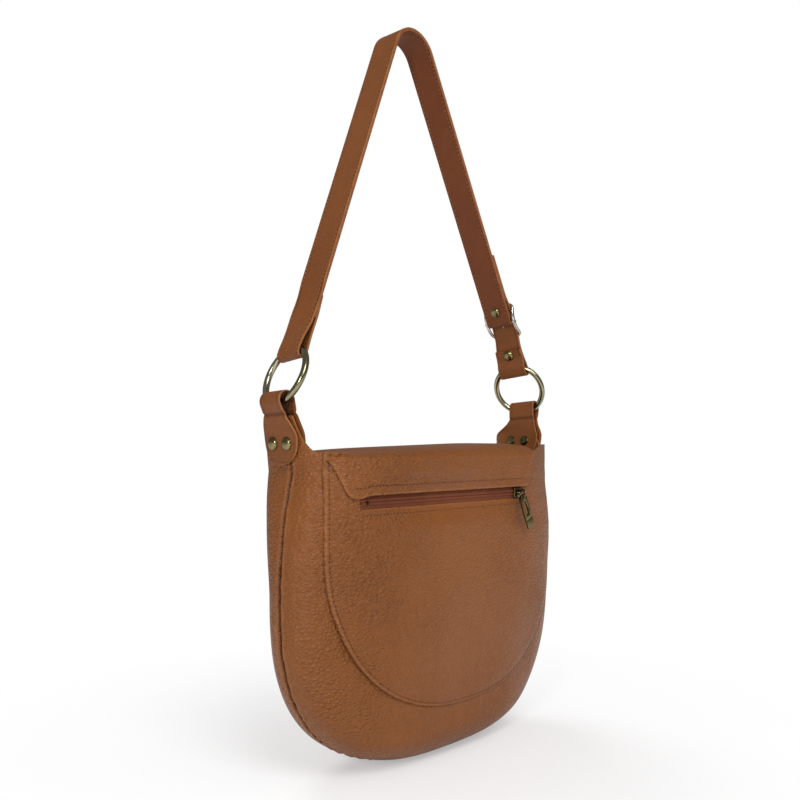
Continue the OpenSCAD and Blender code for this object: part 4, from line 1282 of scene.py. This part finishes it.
# %% Slider
SLIDER_X, SLIDER_Y = ZIP_RUN - 9, -2.25
TO_SLIDER = TO_ZIP @ Matrix.Translation((SLIDER_X, 0, 0))
parts = [
    soft_box((9, 0.95, 7.4), (0, SLIDER_Y - 0.45, 0), TO_SLIDER, 0.42),
    soft_box((8.2, 1.5, 0.8), (0, SLIDER_Y + 0.3, 3.3), TO_SLIDER),
    soft_box((8.2, 1.5, 0.8), (0, SLIDER_Y + 0.3, -3.3), TO_SLIDER),
    soft_box((9, 0.9, 7.4), (0, 1.1, 0), TO_SLIDER, 0.35),
    soft_box((0.9, 3.0, 0.6), (4.0, -0.8, 0), TO_SLIDER, 0.1, 1),
]
arch = []
for k in range(15):
    turn = math.pi * k / 14
    arch.append(TO_SLIDER @ Vector((-2.9 * math.cos(turn), SLIDER_Y - 0.6 - 3.9 * math.sin(turn) ** 0.6, 0)))
bridge = swept("bridge", framed(arch, Vector((0, 0, 1))), round_section(0.62))
bead = turned("bead", [(0.5, 0), (1.6, 0.05), (2.1, 0.5), (2.25, 1.1), (2.0, 1.8), (1.3, 2.4), (0.3, 2.6)], 24)
put(bead, TO_SLIDER @ Matrix.Translation((1.9, SLIDER_Y - 0.8, 0)) @ Matrix.Rotation(math.radians(90), 4, "X"))
slider_piece = merged("slider_body", parts + [bridge, bead])
smooth(slider_piece, 40)
handed_in(slider_piece, "slider", "hardware", "zip_slider")

# %% [markdown]
# A small wire link hangs on the bridge, and the pull tab hangs on the link. The tab is stamped from plate, so it is
# a plain bar with its top corners, its eye, its slot and a fine line at its foot cut out. Its edges are rounded last.

# %% Link
LINK_R, PULL_TILT = 3, math.radians(-25)
LINK = Vector((0, SLIDER_Y - 5.5, -0.75))
link_piece = wire_ring("pull_link_wire", LINK_R, 0.6, 48, 14)
put(link_piece, TO_SLIDER @ Matrix.Translation(LINK) @ Matrix.Rotation(math.radians(90), 4, "Y"))
smooth(link_piece, 180)
handed_in(link_piece, "link", "hardware", "pull_link")

# %% Pull tab
TO_PULL = (TO_SLIDER @ Matrix.Translation(LINK + Vector((0, 0, -LINK_R)))
           @ Matrix.Rotation(PULL_TILT, 4, "Y") @ Matrix.Rotation(math.radians(90), 4, "X"))
THROUGH = 4


def bar(size, place, bevel=0.001):
    return soft_box(size, place, TO_PULL, bevel, 1)


def round_pin(radius, y, sides=32):
    take_only()
    bpy.ops.mesh.primitive_cylinder_add(vertices=sides, radius=radius * MM, depth=THROUGH * MM)
    put(bpy.context.object, TO_PULL @ Matrix.Translation((0, y, 0)))
    return bpy.context.object


pull_piece = bar((8.6, 27.9, 1.4), (0, -12.05, 0))
pull_piece.name = "pull_plate"
cutters = [bar((4.4, 4.6, THROUGH), (x, 3.2, 0)) for x in (-4.6, 4.6)]
cutters += [round_pin(0.85, 0, 24), bar((3.4, 8.8, THROUGH), (0, -9.3, 0))]
cutters += [round_pin(1.7, y) for y in (-4.9, -13.7)]
cutters += [bar((12, 0.7, 0.5), (0, -18.8, z), 0.0001) for z in (-0.75, 0.75)]
for cutter in cutters:
    cut_out(pull_piece, cutter)
finish_with(pull_piece, "BEVEL", width=0.28 * MM, segments=3, limit_method="ANGLE", angle_limit=math.radians(40))
smooth(pull_piece, 35)
handed_in(pull_piece, "pull", "hardware", "pull_tab")

# %% [markdown]
# The buckle is bent from round wire: one closed bow, the bar across it and the prong that turns on the bar.

# %% Buckle
BOW_HALF_Y, BOW_HALF_W, BOW_RISE = 14.4, 14.0, 5.6
BOW_R = (BOW_HALF_W ** 2 + BOW_RISE ** 2) / (2 * BOW_RISE)
BOW_WIRE, BAR_WIRE, PRONG_WIRE = 1.4, 1.5, 1.08


def bow_x(w):
    return BAR_X + BOW_R - math.sqrt(BOW_R ** 2 - (w - BAR_W) ** 2)


def buckle_line():
    """The bow seen flat, a rectangle with round corners, in steps of about 1.6 mm."""
    corner, flat, full = 4.2, [], []
    y, w = BOW_HALF_Y - corner, BOW_HALF_W - corner
    for y, w, start in ((y, w, 0), (-y, w, 90), (-y, -w, 180), (y, -w, 270)):
        flat += [(y + corner * math.cos(t), w + corner * math.sin(t)) for t in turns(start, start + 90, 8)]
    for (y0, w0), (y1, w1) in zip(flat, flat[1:] + flat[:1]):
        run = max(1, round(math.hypot(y1 - y0, w1 - w0) / 1.6))
        full += [(y0 + (y1 - y0) * k / run, w0 + (w1 - w0) * k / run) for k in range(run)]
    return full


def closed_frames(points):
    """Frames for a ring of places, each turned away from the ring's middle."""
    path, middle = [], sum(points, Vector()) / len(points)
    for k, point in enumerate(points):
        ahead = (points[(k + 1) % len(points)] - points[k - 1]).normalized()
        out = point - middle
        out = (out - ahead * out.dot(ahead)).normalized()
        path.append((point, out, ahead.cross(out)))
    return path


bow_points = [on_side(RIGHT, bow_x(BAR_W + w), BAR_W + w) + ACROSS * y for y, w in buckle_line()]
bow = swept("bow", closed_frames(bow_points), round_section(BOW_WIRE, 16), closed=True)
bar_line = [on_side(RIGHT, BAR_X, BAR_W) + ACROSS * y for y in (-15.6, -15.3, -5, 5, 15.3, 15.6)]
bar_frames = [(p, OUTWARD, ACROSS.cross(OUTWARD)) for p in bar_line]
bar_piece = swept("bar", bar_frames, round_section(BAR_WIRE, 20))
buckle = merged("buckle_bow", [bow, bar_piece])
smooth(buckle, 60)
handed_in(buckle, "strap", "buckle_metal", "buckle_frame")

# %% [markdown]
# The prong is a tapered wire that ends in an eye round the bar. Its tip rests on the bow, so its angle is worked out
# from the two wires' thicknesses.

# %% Prong
PRONG_ANGLE = math.atan2(BOW_RISE, BOW_HALF_W) + math.asin((BOW_WIRE + 1.1 + 0.1) / math.hypot(BOW_RISE, BOW_HALF_W))
PRONG_FROM, PRONG_TO, PRONG_STEPS = 1.9, 18.3, 12
eye = wire_ring("eye", 2.07, 0.52, 40, 14)
on_bar = Matrix.Translation(on_side(RIGHT, BAR_X, BAR_W)) @ TO_STRAP.to_3x3().to_4x4()
put(eye, on_bar @ Matrix.Rotation(math.radians(90), 4, "X") @ Matrix.Diagonal((1, 1, 2.6, 1)))
prong_line = []
for k in range(PRONG_STEPS + 1):
    run = PRONG_FROM + (PRONG_TO - PRONG_FROM) * k / PRONG_STEPS
    bow_up = 0.5 * math.sin(math.pi * k / PRONG_STEPS)
    x = BAR_X + run * math.sin(PRONG_ANGLE) + bow_up * math.cos(PRONG_ANGLE)
    w = BAR_W - run * math.cos(PRONG_ANGLE) + bow_up * math.sin(PRONG_ANGLE)
    prong_line.append(on_side(RIGHT, x, w))
prong_frames = []
for k, (point, out, across) in enumerate(framed(prong_line, ACROSS)):
    thin = 1.0 - 0.22 * k / PRONG_STEPS - (0.35 if k == PRONG_STEPS else 0)
    prong_frames.append((point, out * thin, across * thin))
shank = swept("shank", prong_frames, round_section(PRONG_WIRE, 16))
prong = merged("prong_bar", [shank, eye])
smooth(prong, 60)
handed_in(prong, "prong", "buckle_metal", "buckle_prong")

# %% [markdown]
# Finishes come next. A few effects serve many of them: the pebbled grain with painted shade in its valleys, a slow
# drift of colour, and the pale rubbing and painted shade in folds that follow the "wear_and_shade" number. Each is a
# node group, built once and placed where a finish needs it.

# %% Small helpers for node trees
def add_node(tree, kind, plugs=(), **settings):
    node = tree.nodes.new("ShaderNode" + kind)
    for key, value in settings.items():
        setattr(node, key, value)
    for socket, value in dict(plugs).items():
        if isinstance(value, bpy.types.NodeSocket):
            tree.links.new(value, node.inputs[socket])
        else:
            node.inputs[socket].default_value = value
    return node


def math_of(tree, operation, a, b, clamped=False):
    return add_node(tree, "Math", {0: a, 1: b}, operation=operation, use_clamp=clamped).outputs[0]


def times(tree, a, b, clamped=False):
    return math_of(tree, "MULTIPLY", a, b, clamped)


def plus(tree, a, b):
    return math_of(tree, "ADD", a, b)


def moved(tree, operation, a, b):
    return add_node(tree, "VectorMath", {0: a, 1: b}, operation=operation).outputs[0]


def mixed(tree, share, a, b, blend="MIX"):
    return add_node(tree, "Mix", {0: share, 6: a, 7: b}, data_type="RGBA", blend_type=blend).outputs[2]


def between(tree, value, low, high, to_low=0.0, to_high=1.0):
    return add_node(tree, "MapRange", {0: value, 1: low, 2: high, 3: to_low, 4: to_high}).outputs[0]


def spot_on(tree):
    """The place on the piece, in metres, which every pattern here reads."""
    return add_node(tree, "TexCoord").outputs["Object"]


def cloud(tree, spot, scale, detail, output="Fac"):
    return add_node(tree, "TexNoise", {"Vector": spot, "Scale": scale, "Detail": detail}).outputs[output]


def new_group(name, inputs, outputs):
    group = bpy.data.node_groups.new(name, "ShaderNodeTree")
    for label, value in inputs.items():
        kind = "NodeSocketColor" if isinstance(value, tuple) else "NodeSocketFloat"
        group.interface.new_socket(label, in_out="INPUT", socket_type=kind).default_value = value
    for label, kind in outputs.items():
        group.interface.new_socket(label, in_out="OUTPUT", socket_type="NodeSocket" + kind)
    return group, group.nodes.new("NodeGroupInput").outputs, group.nodes.new("NodeGroupOutput").inputs


# %% [markdown]
# Pebbled leather is a field of small low domes with sharp valleys between them. One Voronoi pattern gives flat tops
# up to the valleys and a smooth one gives the domes, and the two are mixed. A little noise stirs the places first,
# so that the pebbles aren't regular, and a broad patch lets the grain lie flatter here and there, as on worked skin.
# The group also gives out where the valleys are, and the leather paints them darker there as shade.

# %% Leather grain
grain, g_in, g_out = new_group(
    "Leather grain", {"Pebbles per metre": 620.0, "Pebble depth": 1.0, "Pore depth": 0.05},
    {"Height": "Float", "Valley shade": "Float"})
spot = spot_on(grain)
wide = moved(grain, "MULTIPLY", spot, (1.0, 1.0, 1.6))
stir = moved(grain, "SUBTRACT", cloud(grain, spot, 260.0, 1.0, "Color"), (0.5, 0.5, 0.5))
stir = add_node(grain, "VectorMath", {0: stir, "Scale": 0.0013}, operation="SCALE").outputs[0]
pebble_spot = {"Vector": moved(grain, "ADD", wide, stir), "Scale": g_in["Pebbles per metre"]}
cells = add_node(grain, "TexVoronoi", pebble_spot, feature="DISTANCE_TO_EDGE").outputs["Distance"]
domes = add_node(grain, "TexVoronoi", pebble_spot, feature="SMOOTH_F1").outputs["Distance"]
patch = between(grain, cloud(grain, spot, 17.0, 2.0), 0.35, 0.65, 0.5, 1.0)
# Towards -x, the side the lamps graze, the pebbles stand higher and the painted shade in their valleys is darker.
place_x = add_node(grain, "SeparateXYZ", {0: spot}).outputs["X"]
patch = times(grain, patch, between(grain, place_x, -0.105, -0.02, 1.0, 0.45))
flat_top = times(grain, between(grain, cells, 0.0, 0.42), 0.55)
dome = times(grain, between(grain, domes, 0.1, 0.75, 1.0, 0.0), 0.75)
pebble = times(grain, times(grain, plus(grain, flat_top, dome), g_in["Pebble depth"]), patch)
pores = times(grain, cloud(grain, spot, 3200.0, 3.0), g_in["Pore depth"])
grain.links.new(plus(grain, pebble, pores), g_out["Height"])
grain.links.new(times(grain, between(grain, cells, 0.0, 0.12, 1.0, 0.0), patch), g_out["Valley shade"])
print(grain.name, len(grain.nodes), "nodes")

# %% [markdown]
# Dyed leather is never one flat colour. Broad clouds and small ones together choose between a colour and a deeper
# one. The same group gives the metals their tarnish, with smaller patches.

# %% Drift of colour
drift, d_in, d_out = new_group(
    "Colour drift", {"Colour": (0.24, 0.09, 0.03, 1), "Deeper": (0.2, 0.07, 0.02, 1), "Patches per metre": 9.0},
    {"Colour": "Color", "Patch": "Float"})
spot = spot_on(drift)
broad = cloud(drift, spot, d_in["Patches per metre"], 3.0)
small = cloud(drift, spot, 140.0, 4.0)
patch = between(drift, plus(drift, times(drift, broad, 0.68), times(drift, small, 0.32)), 0.38, 0.62)
drift.links.new(mixed(drift, patch, d_in["Colour"], d_in["Deeper"]), d_out["Colour"])
drift.links.new(patch, d_out["Patch"])
print(drift.name, len(drift.nodes), "nodes")

# %% [markdown]
# Hands rub the high edges pale. Folds, seams, stitch grooves and the thin shadow line at the pocket's edge are
# painted dark as shade, and the rim of each turned metal piece is darkened. Each mesh carries that as its
# "wear_and_shade" number, and this group turns it into colour, the rubbing broken up a little so that no edge is
# evenly rubbed.

# %% Wear along edges and painted shade in folds
edge_wear_and_shade, w_in, w_out = new_group(
    "Rubbed edges and painted shade", {"Colour": (0.24, 0.09, 0.03, 1), "Rubbed": (0.36, 0.17, 0.08, 1), "Fold": (0.06, 0.02, 0.01, 1)},
    {"Colour": "Color"})
wear_and_shade_value = add_node(edge_wear_and_shade, "Attribute", attribute_name="wear_and_shade").outputs["Fac"]
break_up = between(edge_wear_and_shade, cloud(edge_wear_and_shade, spot_on(edge_wear_and_shade), 160.0, 3.0), 0.3, 0.65, 0.45, 1.0)
rub = times(edge_wear_and_shade, times(edge_wear_and_shade, wear_and_shade_value, break_up, True), 0.75)
# Below zero the colour goes to the dark fold colour: painted shade on leather and tape, a darker rim on metal.
fold = times(edge_wear_and_shade, times(edge_wear_and_shade, wear_and_shade_value, -1.0, True), 0.85)
rubbed = mixed(edge_wear_and_shade, rub, w_in["Colour"], w_in["Rubbed"])
edge_wear_and_shade.links.new(mixed(edge_wear_and_shade, fold, rubbed, w_in["Fold"]), w_out["Colour"])
print(edge_wear_and_shade.name, len(edge_wear_and_shade.nodes), "nodes")

# %% [markdown]
# A material places the groups with its own values. Colours are written as plain red, green and blue between 0 and 1.
# The pebbles are under a millimetre high, so they are a bump: modelled ones would need millions of faces.

# %% Leathers
def place_group(tree, group, **plugs):
    node = tree.nodes.new("ShaderNodeGroup")
    node.node_tree = group
    for label, value in plugs.items():
        socket = node.inputs[label.replace("_", " ")]
        if isinstance(value, bpy.types.NodeSocket):
            tree.links.new(value, socket)
        else:
            socket.default_value = (*value, 1) if isinstance(value, tuple) else value
    return node.outputs


def new_material(name):
    material = bpy.data.materials.new(name)
    material.use_nodes = True
    tree = material.node_tree
    return material, tree, tree.nodes["Principled BSDF"]


def bumped(tree, skin, height, strength, distance):
    bump = add_node(tree, "Bump", {"Height": height, "Strength": strength, "Distance": distance})
    tree.links.new(bump.outputs[0], skin.inputs["Normal"])


def leather(name, colour, deeper, rubbed, fold, pebbles, depth, bump, rough):
    material, tree, skin = new_material(name)
    pebbled = place_group(tree, grain, Pebbles_per_metre=pebbles, Pebble_depth=depth)
    dyed = place_group(tree, drift, Colour=colour, Deeper=deeper)
    used = place_group(tree, edge_wear_and_shade, Colour=dyed["Colour"], Rubbed=rubbed, Fold=fold)
    # Painted shade: the pebble valleys are multiplied towards the deeper colour.
    valley_shade = times(tree, pebbled["Valley shade"], 0.12 * depth)
    tree.links.new(mixed(tree, valley_shade, used["Colour"], (*deeper, 1), "MULTIPLY"), skin.inputs["Base Color"])
    tree.links.new(between(tree, dyed["Patch"], 0.0, 1.0, *rough), skin.inputs["Roughness"])
    bumped(tree, skin, pebbled["Height"], bump, 0.0011)
    skin.inputs["Specular IOR Level"].default_value = 0.27
    return material


# The fold colour of each leather is the painted shade in its seams, creases and stitch grooves.
body_leather = leather(
    "Pebbled tan leather", colour=(0.205, 0.066, 0.0125), deeper=(0.178, 0.055, 0.0095),
    rubbed=(0.33, 0.13, 0.04), fold=(0.04, 0.010, 0.003), pebbles=300.0, depth=1.0, bump=0.95, rough=(0.36, 0.46))
strap_face = leather(
    "Strap leather", colour=(0.185, 0.058, 0.012), deeper=(0.155, 0.046, 0.009),
    rubbed=(0.33, 0.135, 0.045), fold=(0.05, 0.012, 0.004), pebbles=800.0, depth=0.6, bump=0.35, rough=(0.5, 0.62))
# The inner layer is redder than the face, and darker as well, as painted shade, since it faces in, away from the
# light.
strap_back_shaded = leather(
    "Strap inner leather with painted shade", colour=(0.14, 0.035, 0.006), deeper=(0.115, 0.027, 0.005),
    rubbed=(0.30, 0.12, 0.04), fold=(0.04, 0.009, 0.003), pebbles=800.0, depth=0.5, bump=0.3, rough=(0.5, 0.6))
print("leathers", body_leather.name, strap_face.name, strap_back_shaded.name)

# %% [markdown]
# Cloth, tape and thread are woven, so two sets of fine waves cross in them. Only the count of threads, the colour and
# the shine differ, and the thread of the dark rows is waxed darker than that of the strap.

# %% Cloth, tape and thread
def cloth(name, colour, deeper, threads, bump=0.35, rough=0.55):
    material, tree, skin = new_material(name)
    strands = {"Vector": spot_on(tree), "Scale": threads, "Distortion": 0.4}
    warp, weft = (add_node(tree, "TexWave", strands, bands_direction=way).outputs["Fac"] for way in "XZ")
    weave = math_of(tree, "MAXIMUM", warp, weft)
    dyed = place_group(tree, drift, Colour=colour, Deeper=deeper, Patches_per_metre=14.0)
    dark = tuple(0.3 * c for c in colour)
    used = place_group(tree, edge_wear_and_shade, Colour=dyed["Colour"], Rubbed=colour, Fold=dark)
    gaps = between(tree, weave, 0.3, 1.0, 0.45, 0.0)
    tree.links.new(mixed(tree, gaps, used["Colour"], (*deeper, 1), "MULTIPLY"), skin.inputs["Base Color"])
    bumped(tree, skin, weave, bump, 0.0003)
    tree.links.new(between(tree, weave, 0.0, 1.0, rough + 0.08, rough - 0.05), skin.inputs["Roughness"])
    skin.inputs["Specular IOR Level"].default_value = 0.25
    return material


lining_weave = cloth("Lining cotton", (0.11, 0.062, 0.036), (0.08, 0.045, 0.026), 420.0, 0.4, 0.85)
tape_weave = cloth("Zip tape weave", (0.19, 0.050, 0.018), (0.14, 0.034, 0.012), 520.0, 0.35, 0.75)
coil_nylon = cloth("Zip coil nylon", (0.06, 0.014, 0.006), (0.05, 0.012, 0.005), 1500.0, 0.1, 0.5)
dark_thread = cloth("Dark waxed thread", (0.13, 0.044, 0.013), (0.09, 0.029, 0.009), 1600.0)
thread = cloth("Waxed thread", (0.30, 0.125, 0.045), (0.22, 0.085, 0.03), 1600.0)

# %% [markdown]
# The metals are old: a colour that drifts into its tarnish and fine scratches in the shine. Each rivet's head is
# also darker round its rim. The rings are paler than the rivets and the zip, and the buckle is of a worn silvery
# metal.

# %% Metals
def metal(name, colour, tarnish, rough, specks=90.0):
    material, tree, skin = new_material(name)
    dyed = place_group(tree, drift, Colour=colour, Deeper=tarnish, Patches_per_metre=specks)
    dark = tuple(0.25 * c for c in tarnish)
    used = place_group(tree, edge_wear_and_shade, Colour=dyed["Colour"], Rubbed=colour, Fold=dark)
    tree.links.new(used["Colour"], skin.inputs["Base Color"])
    scratch = cloud(tree, spot_on(tree), 900.0, 4.0)
    tree.links.new(between(tree, scratch, 0.3, 0.7, rough - 0.06, rough + 0.1), skin.inputs["Roughness"])
    bumped(tree, skin, scratch, 0.06, 0.0003)
    skin.inputs["Metallic"].default_value = 1.0
    return material


antique_brass = metal("Antique brass", (0.33, 0.275, 0.125), (0.10, 0.08, 0.032), 0.2)
bronze = metal("Old bronze", (0.23, 0.18, 0.075), (0.065, 0.048, 0.018), 0.2)
tarnished = metal("Tarnished brass", (0.09, 0.055, 0.022), (0.05, 0.03, 0.012), 0.4)
ring_brass = metal("Pale antique brass", (0.43, 0.405, 0.28), (0.25, 0.23, 0.13), 0.17, 60.0)
pale_metal = metal("Worn nickel brass", (0.78, 0.76, 0.70), (0.55, 0.52, 0.45), 0.18)

# %% [markdown]
# Each piece takes one finish. The zip's end stops are plain enough in the frame, so they keep their own shape and
# only get a better material.

# %% Give every piece its finish
FINISH = {
    body_leather: [back_leather, front_leather, panel_leather, flap_leather],
    strap_face: [strap_outer, strap_lower, left_tab_leather, right_tab_leather],
    strap_back_shaded: [strap_inner],
    lining_weave: [lining_cloth, pouch_cloth, flap_cloth],
    tape_weave: tapes,
    coil_nylon: [zip_coil],
    dark_thread: [pocket_row, zip_row, yoke_row, flap_row],
    thread: [*outer_rows, *inner_rows, *lower_rows],
    ring_brass: [left_ring, right_ring],
    antique_brass: [tab_heads, tab_caps, strap_heads, strap_caps, snap_lower, snap_upper, slider_piece],
    bronze: [link_piece, pull_piece],
    tarnished: [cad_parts["zip_stops"]],
    pale_metal: [buckle, prong],
}
for material, pieces in FINISH.items():
    for piece in pieces:
        piece.data.materials.clear()
        piece.data.materials.append(material)
print(sum(len(pieces) for pieces in FINISH.values()), "pieces have a finish")

# %% [markdown]
# The studio is plain: a pale floor, large soft lamps, a small one for glints on the metal, and a pale sky. The floor
# keeps the soft shadow under the bag, and fades to white away from it, for the camera only. Past the floor is white.

# %% Floor
take_only()
bpy.ops.mesh.primitive_plane_add(size=14, location=(0, 0, -0.0003))
floor = bpy.context.object
floor.name = "floor"
paper, tree, skin = new_material("Floor paper")
skin.inputs["Roughness"].default_value = 0.9
skin.inputs["Specular IOR Level"].default_value = 0.1
spot = spot_on(tree)
paper_tint = mixed(tree, cloud(tree, spot, 60.0, 2.0), (0.92, 0.92, 0.93, 1), (0.94, 0.94, 0.94, 1))
tree.links.new(paper_tint, skin.inputs["Base Color"])
distance = add_node(tree, "VectorMath", {0: spot}, operation="LENGTH").outputs["Value"]
seen = add_node(tree, "LightPath").outputs["Is Camera Ray"]
share = times(tree, between(tree, distance, 0.12, 0.42, 0.4, 1.0), seen)
white = add_node(tree, "Emission", {"Color": (1, 1, 1, 1), "Strength": 1.0})
blend = add_node(tree, "MixShader", {0: share, 1: skin.outputs[0], 2: white.outputs[0]})
tree.links.new(blend.outputs[0], tree.nodes["Material Output"].inputs["Surface"])
floor.data.materials.append(paper)


# %% Lamps and sky
MIDDLE = Vector((0, 0, 0.2))


def soft_lamp(name, place, size, power, glossy=True):
    lamp = bpy.data.objects.new(name, bpy.data.lights.new(name, "AREA"))
    lamp.data.shape = "DISK"
    lamp.data.size = size
    lamp.data.energy = power
    lamp.location = place
    lamp.rotation_euler = (MIDDLE - Vector(place)).to_track_quat("-Z", "Y").to_euler()
    lamp.visible_glossy = glossy
    bpy.context.scene.collection.objects.link(lamp)


soft_lamp("key", (-0.75, -1.45, 1.55), 1.1, 21.5)
soft_lamp("fill", (1.3, -1.2, 0.9), 1.4, 4.5, glossy=False)
soft_lamp("rim", (0.5, 1.3, 1.7), 1.2, 12, glossy=False)
soft_lamp("glint", (-1.6, -0.75, 0.75), 0.3, 11)
world = bpy.data.worlds.new("studio")
bpy.context.scene.world = world
world.use_nodes = True
sky = world.node_tree
path_kind = add_node(sky, "LightPath").outputs
soft = between(sky, path_kind["Is Glossy Ray"], 0.0, 1.0, 0.48, 0.22)
strength = math_of(sky, "MAXIMUM", soft, path_kind["Is Camera Ray"])
sky.links.new(strength, sky.nodes["Background"].inputs["Strength"])
sky.nodes["Background"].inputs["Color"].default_value = (1, 1, 1, 1)
bpy.context.scene.view_settings.view_transform = "Standard"

# %% [markdown]
# The camera stands where the photo was taken from. Its place, turn and lens were fitted to the rings, the strap and
# the body's outline, which gave the real size as well.

# %% Camera
camera = bpy.data.objects.new("camera", bpy.data.cameras.new("camera"))
bpy.context.scene.collection.objects.link(camera)
camera.data.lens = 44.43
camera.data.sensor_width = 36
camera.location = (-0.590, -0.495, 0.2386)
camera.rotation_euler = (math.radians(92.03), 0, -math.radians(48.56))
bpy.context.scene.camera = camera
